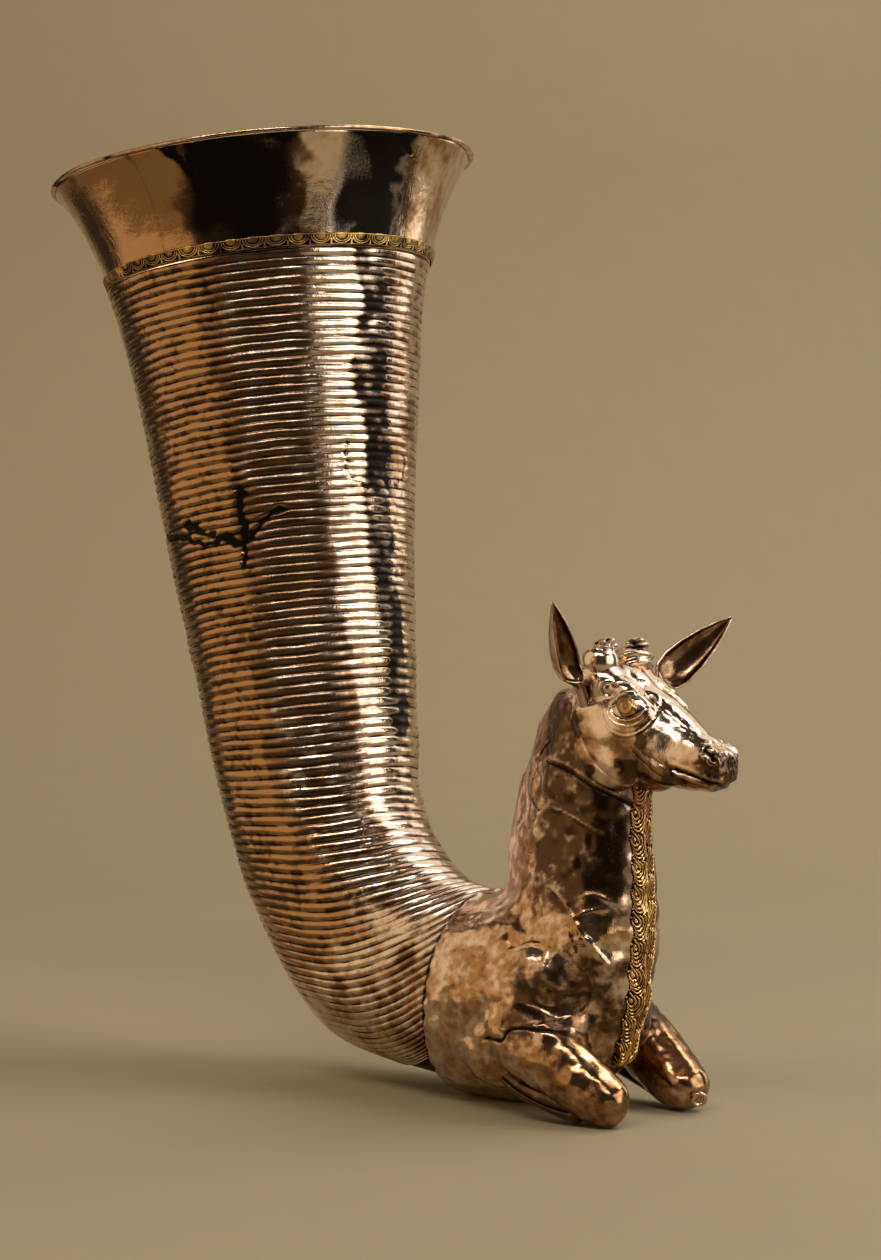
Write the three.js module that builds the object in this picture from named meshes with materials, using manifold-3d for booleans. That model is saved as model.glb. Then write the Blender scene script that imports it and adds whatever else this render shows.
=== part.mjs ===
// An ibex rhyton: a ribbed drinking horn of sheet silver that bends forward into the forepart
// of a resting ibex. Millimetres, +Z up, +X towards the muzzle, +Y the animal's left side.
// The vessel rests on both knees and on the belly, just in front of the horn's bend.
import * as THREE from "three";
import { mergeVertices } from "three/addons/utils/BufferGeometryUtils.js";
import Module from "manifold-3d";

const wasm = await Module();
wasm.setup();

// Joints and walls
const GAP = 0.3; // solder gap between two pieces that touch
const HORN_WALL = 0.9;
const CHEST_WALL = 1.8;
const SOCKET_DEPTH = 6; // how far the horn's plain end enters the chest
const COLLAR_DEPTH = 2; // solid stretch of the horn where that end begins
const TONGUE_INSET = 1.3; // how far that end lies inside the horn's outer surface
const FLOOR_FLAT = 0.5; // depth of the worn flats under the knees and the belly

// Horn: its centre line starts near the chest, runs straight, bends up in an arc and rises in
// a much flatter arc. Lengths are measured along it, and headings turn up from +X. Before its
// start the line runs straight on, into the chest, and an upright plane cuts the horn there.
const START = { x: 30.8, z: 34.6, heading: 166 };
const SEAM_X = 38.4;
const STRAIGHT_LENGTH = 8;
const BEND_RADIUS = 85;
const BEND_TURN = 66.5;
const SHAFT_LENGTH = 218;
const SHAFT_TURN = 4;
const NECK_RADIUS = 34.6; // at the chest
const SHAFT_RADIUS = 60.5; // where the taper would reach the mouth
const RIM_RADIUS = 75;
const TAPER_FROM = 85;
const TAPER_POWER = 1.15;
const FLARE_LENGTH = 62;
const FLICK = 1.2; // the mouth's last turn outwards
const FLICK_LENGTH = 15;
const START_WIDTH = 0.82; // width over height of the horn where its line starts
const ROUND_FROM = 95; // length after which the horn is round
// The outer side of the bend stands out past the round section, and is drawn in at the chest.
const HEEL = { rise: 7.6, at: 42, spread: 22 };
const DRAWN_IN = { depth: 3.6, until: 44 };
const HORN_SIDES = 20;
const RIB_PITCH = 3.1;
const RIB_HEIGHT = 0.6;
// Ribs run square round the horn above RIBS_SQUARE. Below it each one lies almost level, and
// curves up towards the chest from a place that moves forward with the ribs' lengths.
const RIBS_SQUARE = 160;
const RIB_SLOPE = -2; // degrees
const RIB_CURVE = 0.015; // slope that is gained on each millimetre
const RIB_CURVE_FROM = { low: 10, high: -22 };
const MOUTH_LENGTH = 38.9; // plain flaring mouth above the ribs
const BAND_HEIGHT = 5.4;
const BAND_THICKNESS = 0.7;
const LIP_HEIGHT = 1.4;
const LIP_OVERHANG = 0.5; // how far the lip stands out past the mouth's wall, each way

// Animal: stations along each form, as [x, z, half height across the line, half width]
const CHEST_LINE = [
  [26, 34.6, 35, 28.6],
  [38, 34, 35, 29.2],
  [48, 33.6, 34.8, 30.4],
  [62, 35, 34.4, 31],
  [77, 38.8, 33, 28.5],
  [90, 42, 29, 22],
  [101, 44, 17.5, 12.5],
  [105, 44.4, 11.5, 6],
];
const NECK_LINE = [
  [82, 40, 24.5, 19],
  [81, 56, 28, 21],
  [80.5, 76, 28.4, 18],
  [81.2, 92, 27.2, 16],
  [84, 106, 24.4, 15],
  [85.6, 118, 21.4, 14.4],
  [88, 129, 17, 12.5],
];
const NAPE_PINCH = 0.3; // how much narrower the neck is behind
const HEAD_LINE = [
  [77.5, 131.5, 5.5, 6],
  [86, 129, 12, 11.5],
  [98, 125.5, 16.6, 15.6],
  [112, 121, 13.8, 14.6],
  [125, 116.2, 10.6, 9.6],
  [136, 113, 8.2, 7.8],
  [141, 112, 6.4, 6.4],
];
const MUZZLE_DOME = 4;
const MOUTH_SLOT = { corner: [126, 112], front: [146, 106.2], height: 1.3, span: 40 };
const NOSTRIL = { x: 140.5, z: 116.6, y: 5.2, radius: 1.3 };

const KNEE_Y = 20; // both knees stand this far from the middle
const KNEE_RADIUS = 8.2;
const FORELEG_LINE = [
  [66, 33, 29, 13, 7],
  [80, 26.5, 26.5, 12.5, 9],
  [94, 17, 23, 10.8, 9.2],
  [105, 10.2, 20.6, 9.6, 8.8],
  [110, KNEE_RADIUS - FLOOR_FLAT, KNEE_Y, KNEE_RADIUS, 7.8],
];
const KNEE_DOME = 7.5;
const SHIN_LINE = [
  [101, 5.6, 23.5, 5.2, 4.6],
  [88, 8.2, 26.5, 4.4, 4.6],
  [76, 11, 28.4, 4.2, 4.8],
  [68, 13.2, 29.2, 5.4, 5.2],
  [62, 15, 29.4, 6.4, 5.8],
];
const HOOF_DOME = 3;

// The ears were bent differently, so each has a tip of its own.
const EAR = {
  root: [94, 11, 129.5],
  leftTip: [111, 43, 160],
  rightTip: [104.4, -39.9, 164.7],
  width: 7.2,
  depth: 4.6,
  bowl: 1.7,
};
const EAR_SWELL = [0.36, 0.36, 0.36, 0.72, 0.98, 1, 0.8, 0.42, 0.06];
const SKULL_TOP = HEAD_LINE[2][1] + HEAD_LINE[2][2];
const STUB = { x: 97, y: 7.8, height: 13, sunk: 6, radius: 6.2, waist: 4.7, pith: 2.6 };
const EYE = { x: 111.6, z: 129.4, y: 12.2, length: 4.6, height: 3.4, depth: 3 };
const SPOUT = { rim: 2.7, bore: 1.7, length: 2.4, aim: [0.78, -0.5, -0.36] };

const RUFF_LINE = [
  [107.4, 108, 2.6, 4.4],
  [108, 88, 2.8, 5.4],
  [108.2, 70, 2.9, 6],
  [109.4, 50, 3, 6],
  [108.8, 34, 2.9, 5.8],
  [103.5, 22, 2.6, 5],
  [98, 15.5, 1.8, 3],
];

const SILVER = { color: 0xc9b8a4, metalness: 1, roughness: 0.3 };
const GILT = { color: 0xd3a04a, metalness: 1, roughness: 0.32 };
const DARK = { color: 0x8b755c, metalness: 1, roughness: 0.45 };

// Solids

// A closed skin over rings of equal length: capped at both ends, or joined end to start.
function skin(rings, joined = false) {
  const sides = rings[0].length;
  const points = rings.flat();
  const faces = [];
  const last = joined ? rings.length : rings.length - 1;
  for (let i = 0; i < last; i += 1) {
    const here = i * sides;
    const next = ((i + 1) % rings.length) * sides;
    for (let j = 0; j < sides; j += 1) {
      const k = (j + 1) % sides;
      faces.push(here + j, next + j, here + k, next + j, next + k, here + k);
    }
  }
  if (!joined) {
    const end = points.length - sides;
    const middle = (ring) =>
      ring.reduce((sum, p) => sum.add(p), new THREE.Vector3()).divideScalar(sides);
    points.push(middle(rings[0]), middle(rings.at(-1)));
    for (let j = 0; j < sides; j += 1) {
      const k = (j + 1) % sides;
      faces.push(points.length - 2, j, k, points.length - 1, end + k, end + j);
    }
  }
  const geometry = new THREE.BufferGeometry().setFromPoints(points);
  return geometry.setIndex(faces);
}

function solid(geometry) {
  const bare = geometry.clone();
  bare.deleteAttribute("normal");
  bare.deleteAttribute("uv");
  const merged = mergeVertices(bare, 1e-3);
  return new wasm.Manifold(
    new wasm.Mesh({
      numProp: 3,
      vertProperties: merged.attributes.position.array,
      triVerts: new Uint32Array(merged.index.array),
    }),
  );
}

function geometryOf(body) {
  const mesh = body.getMesh();
  const geometry = new THREE.BufferGeometry();
  geometry.setAttribute("position", new THREE.BufferAttribute(mesh.vertProperties, 3));
  geometry.setIndex(new THREE.BufferAttribute(mesh.triVerts, 1));
  geometry.computeVertexNormals();
  return geometry;
}

// An elliptical ring square to a line's direction, which "pinch" makes narrower on one side.
function ring(centre, direction, height, width, sides, pinch = 0) {
  const across = new THREE.Vector3(0, 1, 0).addScaledVector(direction, -direction.y).normalize();
  const up = direction.clone().cross(across);
  return Array.from({ length: sides }, (_, j) => {
    const turn = (j / sides) * 2 * Math.PI;
    const narrowed = width * (1 - pinch * Math.cos(turn));
    return centre
      .clone()
      .addScaledVector(up, height * Math.cos(turn))
      .addScaledVector(across, narrowed * Math.sin(turn));
  });
}

// The half of space behind an upright plane.
const SPACE = 800;
function behind(x) {
  const block = new THREE.BoxGeometry(SPACE, SPACE, SPACE);
  return solid(block.translate(x - SPACE / 2, 0, 0));
}

// A smooth form through stations [x, z, height, width] or [x, z, y, height, width]. It can be
// grown all over, and its far end can be rounded off by a dome.
function form(stations, { grow = 0, dome = 0, steps = 2, sides = 20, side = 1, pinch = 0 } = {}) {
  const centres = stations.map((s) =>
    s.length === 5 ? new THREE.Vector3(s[0], side * s[2], s[1]) : new THREE.Vector3(s[0], 0, s[1]),
  );
  const sizes = stations.map((s) => new THREE.Vector3(s.at(-2), s.at(-1), 0));
  const line = new THREE.CatmullRomCurve3(centres, false, "centripetal");
  const size = new THREE.CatmullRomCurve3(sizes, false, "catmullrom", 0.5);
  const count = (stations.length - 1) * steps;
  const rings = [];
  for (let i = 0; i <= count; i += 1) {
    const t = i / count;
    const direction = line.getTangent(t);
    const outward = i === 0 ? -grow : i === count && !dome ? grow : 0;
    const centre = line.getPoint(t).addScaledVector(direction, outward);
    const half = size.getPoint(t);
    rings.push(ring(centre, direction, half.x + grow, half.y + grow, sides, pinch));
  }
  const tip = centres.at(-1);
  const ahead = line.getTangent(1);
  const DOME_RINGS = 4;
  for (let i = 1; dome && i <= DOME_RINGS; i += 1) {
    const turn = (i / (DOME_RINGS + 0.4)) * (Math.PI / 2);
    const centre = tip.clone().addScaledVector(ahead, (dome + grow) * Math.sin(turn));
    const shrink = Math.cos(turn);
    const { x, y } = sizes.at(-1);
    rings.push(ring(centre, ahead, (x + grow) * shrink, (y + grow) * shrink, sides, pinch));
  }
  return solid(skin(rings));
}

function ball(x, y, z, rx, ry, rz, parts = 12) {
  const geometry = new THREE.SphereGeometry(1, parts, parts / 2);
  return solid(geometry.scale(rx, ry, rz).translate(x, y, z));
}

// A plain round bar along a line, with one radius for each point.
function bar(points, radii, sides = 12) {
  const line = points.map((p) => new THREE.Vector3(...p));
  const direction = line.at(-1).clone().sub(line[0]).normalize();
  return solid(skin(line.map((p, i) => ring(p, direction, radii[i], radii[i], sides))));
}

// The horn

const BEND_LENGTH = BEND_RADIUS * THREE.MathUtils.degToRad(BEND_TURN);
const HORN_LENGTH = STRAIGHT_LENGTH + BEND_LENGTH + SHAFT_LENGTH;
const RIBS_END = HORN_LENGTH - MOUTH_LENGTH;
const RIBS_END_LOW = -50; // where the ribs' count stops, inside the chest
const FAR_START = 200; // length of the horn's run into the chest, before it is cut
const BORE_STEPS = 30;

// Where the centre line is at a length, and its heading there.
function hornPlace(length) {
  const { cos, sin } = Math;
  const { degToRad } = THREE.MathUtils;
  const runs = [
    [STRAIGHT_LENGTH, 0],
    [BEND_LENGTH, degToRad(BEND_TURN)],
    [SHAFT_LENGTH, degToRad(SHAFT_TURN)],
  ];
  let { x, z } = START;
  let heading = degToRad(START.heading);
  let left = length;
  for (const [run, turn] of runs) {
    const part = Math.min(left, run);
    const turned = (turn * part) / run;
    const chord = turned ? (2 * sin(turned / 2) * run) / turn : part;
    x += chord * cos(heading - turned / 2);
    z += chord * sin(heading - turned / 2);
    heading -= turned;
    left -= part;
    if (left <= 0) break;
  }
  return { centre: new THREE.Vector3(x, 0, z), heading };
}

function hornRadius(length) {
  const along = (from) => Math.max(0, (length - from) / (HORN_LENGTH - from));
  const taper = (SHAFT_RADIUS - NECK_RADIUS) * along(TAPER_FROM) ** TAPER_POWER;
  const flare = (RIM_RADIUS - SHAFT_RADIUS) * along(HORN_LENGTH - FLARE_LENGTH) ** 2;
  return NECK_RADIUS + taper + flare + FLICK * along(HORN_LENGTH - FLICK_LENGTH) ** 2;
}

// How far the bend's outer side stands out at a length.
function heelRise(length) {
  const rise = HEEL.rise * Math.exp(-(((length - HEEL.at) / HEEL.spread) ** 2));
  return rise - DRAWN_IN.depth * (1 - THREE.MathUtils.smoothstep(length, 0, DRAWN_IN.until));
}

// A point of the horn's section at a length: its angle is 0 on the bend's outer side, and
// "grow" changes the radius.
function hornPoint(length, angle, grow) {
  const { centre, heading } = hornPlace(length);
  const radius = hornRadius(length);
  const roundness = THREE.MathUtils.smoothstep(length, 0, ROUND_FROM);
  const width = radius * THREE.MathUtils.lerp(START_WIDTH, 1, roundness) + grow;
  const outward = Math.max(0, Math.cos(angle));
  const up = (radius + grow + heelRise(length) * outward ** 2) * Math.cos(angle);
  const aside = width * Math.sin(angle);
  return centre.add(new THREE.Vector3(-Math.sin(heading) * up, aside, Math.cos(heading) * up));
}

const HORN_ANGLES = Array.from({ length: HORN_SIDES }, (_, j) => (j / HORN_SIDES) * 2 * Math.PI);

function hornRing(length, grow) {
  return HORN_ANGLES.map((angle) => hornPoint(length, angle, grow));
}

// Ribs are counted off in lengths on the outer side, which equal those on the line above the
// bend. This gives the line's length where a rib starts on the outer side.
function outerLength(rib) {
  const bendEnd = STRAIGHT_LENGTH + BEND_LENGTH;
  const stretch = (BEND_RADIUS + NECK_RADIUS) / BEND_RADIUS;
  const below = bendEnd - rib;
  if (below <= 0) return rib;
  const inBend = Math.min(below / stretch, BEND_LENGTH);
  return bendEnd - inBend - (below - inBend * stretch);
}

// The height of a rib at x, in the side view.
function ribHeight(rib, x) {
  const { degToRad, lerp, smoothstep } = THREE.MathUtils;
  const length = outerLength(rib);
  const { x: startX, z: startZ } = hornPoint(length, 0, 0);
  const square = hornPlace(length).heading - Math.PI / 2;
  const slope = lerp(degToRad(RIB_SLOPE), square, smoothstep(rib, RIBS_SQUARE - 100, RIBS_SQUARE));
  const bent = RIB_CURVE * (1 - smoothstep(rib, RIBS_SQUARE - 60, RIBS_SQUARE));
  const { low, high } = RIB_CURVE_FROM;
  const from = lerp(low, high, smoothstep(rib, RIBS_END_LOW, RIBS_SQUARE - 60));
  const gained = Math.max(0, x - from) ** 2 - Math.max(0, startX - from) ** 2;
  return startZ + Math.tan(slope) * (x - startX) + (bent / 2) * gained;
}

// A ring along a rib: on each side of the horn, the place where the rib crosses it.
function ribRing(rib, grow) {
  if (rib >= RIBS_SQUARE) return hornRing(rib, grow);
  return HORN_ANGLES.map((angle) => {
    let low = -FAR_START;
    let high = HORN_LENGTH;
    for (let i = 0; i < 24; i += 1) {
      const middle = (low + high) / 2;
      const { x, z } = hornPoint(middle, angle, 0);
      if (z > ribHeight(rib, x)) high = middle;
      else low = middle;
    }
    return hornPoint(low, angle, grow);
  });
}

// A stretch of sheet between two lengths, from the outer profile and a wall inside it.
function hornSheet(outer, wall, steps) {
  const inner = Array.from({ length: steps + 1 }, (_, i) =>
    hornRing(THREE.MathUtils.lerp(outer.at(-1)[0], outer[0][0], i / steps), -wall),
  );
  return skin([...outer.map(([length, grow]) => hornRing(length, grow)), ...inner], true);
}

// A level solid between two places along X, with the horn's section at the seam.
function seamPlug(front, back, grow) {
  const outline = HORN_ANGLES.map((angle) => {
    let [low, high] = [-FAR_START, FAR_START];
    for (let i = 0; i < 24; i += 1) {
      const middle = (low + high) / 2;
      if (hornPoint(middle, angle, 0).x < SEAM_X) high = middle;
      else low = middle;
    }
    return hornPoint(low, angle, grow);
  });
  return solid(skin([front, back].map((x) => outline.map((p) => p.clone().setX(x)))));
}

// The ribbed horn runs on into the chest, and the seam's plane cuts it. Its plain end starts
// in a solid collar behind the seam.
function hornVessel() {
  const top = RIBS_END - GAP / 2;
  const ribCount = Math.ceil((top - RIBS_END_LOW) / RIB_PITCH);
  const rings = [hornRing(-FAR_START, 0)];
  for (let i = ribCount; i > 0; i -= 1) {
    rings.push(ribRing(top - i * RIB_PITCH, 0), ribRing(top - (i - 0.5) * RIB_PITCH, RIB_HEIGHT));
  }
  rings.push(ribRing(top, 0));
  const boreRings = [hornRing(-FAR_START, -HORN_WALL)];
  for (let i = 0; i <= BORE_STEPS; i += 1) {
    boreRings.push(hornRing(((top + 1) * i) / BORE_STEPS, -HORN_WALL));
  }
  const back = SEAM_X - COLLAR_DEPTH;
  const bore = solid(skin(boreRings)).intersect(behind(back));
  const end = seamPlug(SEAM_X + SOCKET_DEPTH, back - 1, -TONGUE_INSET);
  const endBore = seamPlug(SEAM_X + SOCKET_DEPTH + 1, back - 1, -TONGUE_INSET - HORN_WALL);
  const ribbed = solid(skin(rings)).intersect(behind(SEAM_X - GAP / 2));
  return ribbed.add(end).subtract(bore).subtract(endBore);
}

function mouthCollar() {
  const from = RIBS_END + GAP / 2;
  const steps = 6;
  const profile = Array.from({ length: steps + 1 }, (_, i) => [
    THREE.MathUtils.lerp(from, HORN_LENGTH - GAP, i / steps),
    0,
  ]);
  return hornSheet(profile, HORN_WALL, steps);
}

function giltBand() {
  const low = RIBS_END + GAP;
  const high = low + BAND_HEIGHT;
  const outer = [
    [low, GAP + 0.3],
    [low + BAND_HEIGHT * 0.2, GAP + BAND_THICKNESS],
    [low + BAND_HEIGHT * 0.8, GAP + BAND_THICKNESS],
    [high, GAP + 0.3],
  ];
  const inner = [high, low].map((length) => hornRing(length, GAP));
  return skin([...outer.map(([length, grow]) => hornRing(length, grow)), ...inner], true);
}

// The lip is a flat wire around the mouth: its top face is the vessel's highest plane.
function rimLip() {
  const { heading } = hornPlace(HORN_LENGTH);
  const direction = new THREE.Vector3(Math.cos(heading), 0, Math.sin(heading));
  const raise = (points, by) => points.map((p) => p.clone().addScaledVector(direction, by));
  const wide = hornRing(HORN_LENGTH, LIP_OVERHANG);
  const narrow = hornRing(HORN_LENGTH, -HORN_WALL - LIP_OVERHANG);
  return skin([wide, raise(wide, LIP_HEIGHT), raise(narrow, LIP_HEIGHT), narrow], true);
}

// The animal

const chestForm = (grow) => form(CHEST_LINE, { grow, dome: 3 });
const neckForm = (grow) => form(NECK_LINE, { grow, dome: 7, sides: 16, pinch: NAPE_PINCH });
const headForm = (grow) => form(HEAD_LINE, { grow, dome: MUZZLE_DOME, sides: 16 });
const forelegForm = (side, grow) => form(FORELEG_LINE, { grow, dome: KNEE_DOME, side, sides: 12 });
const shinForm = (side, grow) => form(SHIN_LINE, { grow, dome: HOOF_DOME, side, sides: 10 });

const floor = solid(new THREE.BoxGeometry(SPACE, SPACE, SPACE).translate(0, 0, -SPACE / 2));

// The chest is a hollow shell, open behind, where the horn's plain end enters it.
function chestShell() {
  const socket = seamPlug(SEAM_X + SOCKET_DEPTH + GAP, SEAM_X, GAP - TONGUE_INSET);
  const hollow = chestForm(-CHEST_WALL).add(socket);
  return chestForm(0).subtract(hollow).subtract(behind(SEAM_X + GAP / 2)).subtract(floor);
}

function neck() {
  return neckForm(0).subtract(chestForm(GAP)).subtract(headForm(GAP));
}

// A thin wedge between the lips.
function mouthSlot() {
  const [cornerX, cornerZ] = MOUTH_SLOT.corner;
  const [frontX, frontZ] = MOUTH_SLOT.front;
  const length = Math.hypot(frontX - cornerX, frontZ - cornerZ);
  const slot = new THREE.BoxGeometry(length, MOUTH_SLOT.span, MOUTH_SLOT.height);
  slot.rotateY(Math.atan2(cornerZ - frontZ, frontX - cornerX));
  return solid(slot.translate((cornerX + frontX) / 2, 0, (cornerZ + frontZ) / 2));
}

function head() {
  let body = headForm(0).subtract(mouthSlot());
  for (const side of [-1, 1]) {
    const { x, y, z, radius } = NOSTRIL;
    body = body.subtract(ball(x, side * y, z, radius * 1.6, radius, radius, 8));
  }
  return body;
}

function foreleg(side) {
  return forelegForm(side, 0).subtract(chestForm(GAP)).subtract(floor);
}

function shin(side) {
  return shinForm(side, 0)
    .subtract(forelegForm(side, GAP))
    .subtract(chestForm(GAP))
    .subtract(floor);
}

// A leaf-shaped ear, hollowed from the front.
function ear(side) {
  const root = new THREE.Vector3(EAR.root[0], side * EAR.root[1], EAR.root[2]);
  const tip = new THREE.Vector3(...(side > 0 ? EAR.leftTip : EAR.rightTip));
  const direction = tip.clone().sub(root).normalize();
  const leaf = (scale, shift) =>
    EAR_SWELL.map((swell, i) => {
      const centre = root.clone().lerp(tip, i / (EAR_SWELL.length - 1)).add(shift);
      return ring(centre, direction, EAR.width * swell * scale, EAR.depth * swell * scale, 12);
    });
  const facing = new THREE.Vector3(1, -0.4 * side, 0);
  facing.addScaledVector(direction, -facing.dot(direction)).normalize();
  const shape = solid(skin(leaf(1, new THREE.Vector3())));
  const bowl = solid(skin(leaf(0.86, facing.multiplyScalar(EAR.bowl * 1.5)).slice(3)));
  return shape.subtract(bowl).subtract(headForm(GAP));
}

// A broken horn: a short collared stub with a hollow in its rough top.
function hornStub(side) {
  const { x, y, height, sunk, radius, waist, pith } = STUB;
  const at = (rise) => [x, side * y, SKULL_TOP + rise];
  const levels = [-sunk, 0.3, 0.5, 0.66, 0.74, 0.9, 1].map((share, i) => i ? share * height : share);
  const radii = [radius * 0.8, radius * 0.96, radius, radius * 0.9, waist, waist * 1.1, waist * 0.9];
  const body = bar(levels.map(at), radii);
  return body
    .subtract(bar([at(height - 1), at(height + 1)], [pith * 0.8, pith], 8))
    .subtract(headForm(GAP));
}

function eye(side) {
  const { x, y, z, length, height, depth } = EYE;
  return ball(x, side * y, z, length, depth, height).subtract(headForm(GAP));
}

function chestRuff() {
  return form(RUFF_LINE, { sides: 10 }).subtract(chestForm(GAP)).subtract(neckForm(GAP))
    .subtract(headForm(GAP)).subtract(forelegForm(1, GAP)).subtract(forelegForm(-1, GAP));
}

// The pouring hole's rolled rim on the inner side of the left knee.
function spoutRing() {
  const aim = new THREE.Vector3(...SPOUT.aim).normalize();
  const knee = new THREE.Vector3(FORELEG_LINE.at(-1)[0] + 2, KNEE_Y, FORELEG_LINE.at(-1)[1]);
  const reach = FORELEG_LINE.at(-1)[3] - 2;
  const at = (distance) => knee.clone().addScaledVector(aim, distance).toArray();
  const outer = bar([at(reach - 2), at(reach + SPOUT.length)], [SPOUT.rim, SPOUT.rim]);
  const bore = bar([at(reach - 4), at(reach + SPOUT.length + 2)], [SPOUT.bore, SPOUT.bore]);
  return outer.subtract(bore).subtract(forelegForm(1, GAP)).subtract(floor);
}

// Assembly

const rhyton = new THREE.Group();

function place(name, finish, shape) {
  const geometry = shape.isBufferGeometry ? shape : geometryOf(shape);
  if (!geometry.attributes.normal) geometry.computeVertexNormals();
  const mesh = new THREE.Mesh(geometry, new THREE.MeshStandardMaterial(finish));
  mesh.name = name;
  rhyton.add(mesh);
}

place("horn_vessel", SILVER, hornVessel());
place("mouth_collar", SILVER, mouthCollar());
place("gilt_band", GILT, giltBand());
place("rim_lip", SILVER, rimLip());
place("chest_shell", SILVER, chestShell());
place("neck", SILVER, neck());
place("head", SILVER, head());
place("chest_ruff", GILT, chestRuff());
for (const [name, side] of [["left", 1], ["right", -1]]) {
  place("ear_" + name, SILVER, ear(side));
  place("horn_stub_" + name, SILVER, hornStub(side));
  place("eye_" + name, GILT, eye(side));
  place("foreleg_" + name, SILVER, foreleg(side));
  place("shin_" + name, DARK, shin(side));
}
place("spout_ring", SILVER, spoutRing());

// The frame stands at the middle of the vessel's footprint, on the surface that it rests on.
const extent = new THREE.Box3().setFromObject(rhyton);
const middle = extent.getCenter(new THREE.Vector3());
rhyton.position.set(-middle.x, -middle.y, -extent.min.z);

export default rhyton;
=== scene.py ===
"""The looks of an ibex rhyton: a ribbed silver drinking horn on the forepart of a resting ibex.

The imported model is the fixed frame. Each piece of worn, partly gilt metal is built over it.
Shapes are worked out in millimetres, and every mesh is stored in metres.
"""
import functools
import math

import bmesh
import bpy
import numpy as np
from mathutils import Euler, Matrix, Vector


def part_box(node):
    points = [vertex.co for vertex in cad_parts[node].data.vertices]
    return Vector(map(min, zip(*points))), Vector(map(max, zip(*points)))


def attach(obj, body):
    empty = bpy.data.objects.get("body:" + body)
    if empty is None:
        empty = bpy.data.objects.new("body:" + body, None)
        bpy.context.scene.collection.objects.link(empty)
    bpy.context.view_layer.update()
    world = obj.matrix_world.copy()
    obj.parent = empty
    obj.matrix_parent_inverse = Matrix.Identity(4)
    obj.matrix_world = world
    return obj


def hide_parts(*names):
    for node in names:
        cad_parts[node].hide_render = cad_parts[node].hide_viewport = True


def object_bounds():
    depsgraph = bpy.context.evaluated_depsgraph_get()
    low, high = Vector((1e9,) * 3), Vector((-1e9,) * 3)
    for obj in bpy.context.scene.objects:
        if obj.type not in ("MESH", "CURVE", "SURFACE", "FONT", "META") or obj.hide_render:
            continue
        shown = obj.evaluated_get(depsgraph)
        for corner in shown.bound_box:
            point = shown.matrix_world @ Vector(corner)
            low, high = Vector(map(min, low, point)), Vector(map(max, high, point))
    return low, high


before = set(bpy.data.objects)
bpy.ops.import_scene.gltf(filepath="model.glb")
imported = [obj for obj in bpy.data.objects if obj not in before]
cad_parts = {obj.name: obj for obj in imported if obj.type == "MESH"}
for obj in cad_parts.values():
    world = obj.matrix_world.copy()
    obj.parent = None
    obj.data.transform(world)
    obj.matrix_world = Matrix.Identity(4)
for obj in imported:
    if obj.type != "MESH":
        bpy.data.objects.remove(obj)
CAD_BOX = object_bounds()

bl_info = {
    "name": "Ibex rhyton",
    "version": (1, 0, 0),
    "blender": (4, 5, 0),
    "location": "3D View > Sidebar > Rhyton",
    "description": "Builds a ribbed silver drinking horn that ends in a resting ibex",
    "category": "Add Mesh",
}

MM = 0.001
BODY = "root"


# Settings


def size(name, description, millimetres):
    """A length that is entered in millimetres and kept in metres."""
    return bpy.props.FloatProperty(
        name=name, description=description, default=millimetres * MM, precision=5, unit="LENGTH"
    )


def turn(name, description, degrees):
    """An angle that is entered in degrees and kept in radians."""
    return bpy.props.FloatProperty(
        name=name, description=description, default=math.radians(degrees), subtype="ANGLE"
    )


def amount(name, description, default):
    """A plain number."""
    return bpy.props.FloatProperty(name=name, description=description, default=default)


def colour(name, description, default):
    """A linear colour."""
    return bpy.props.FloatVectorProperty(
        name=name, description=description, default=default, subtype="COLOR", size=3, min=0, max=1
    )


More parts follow.
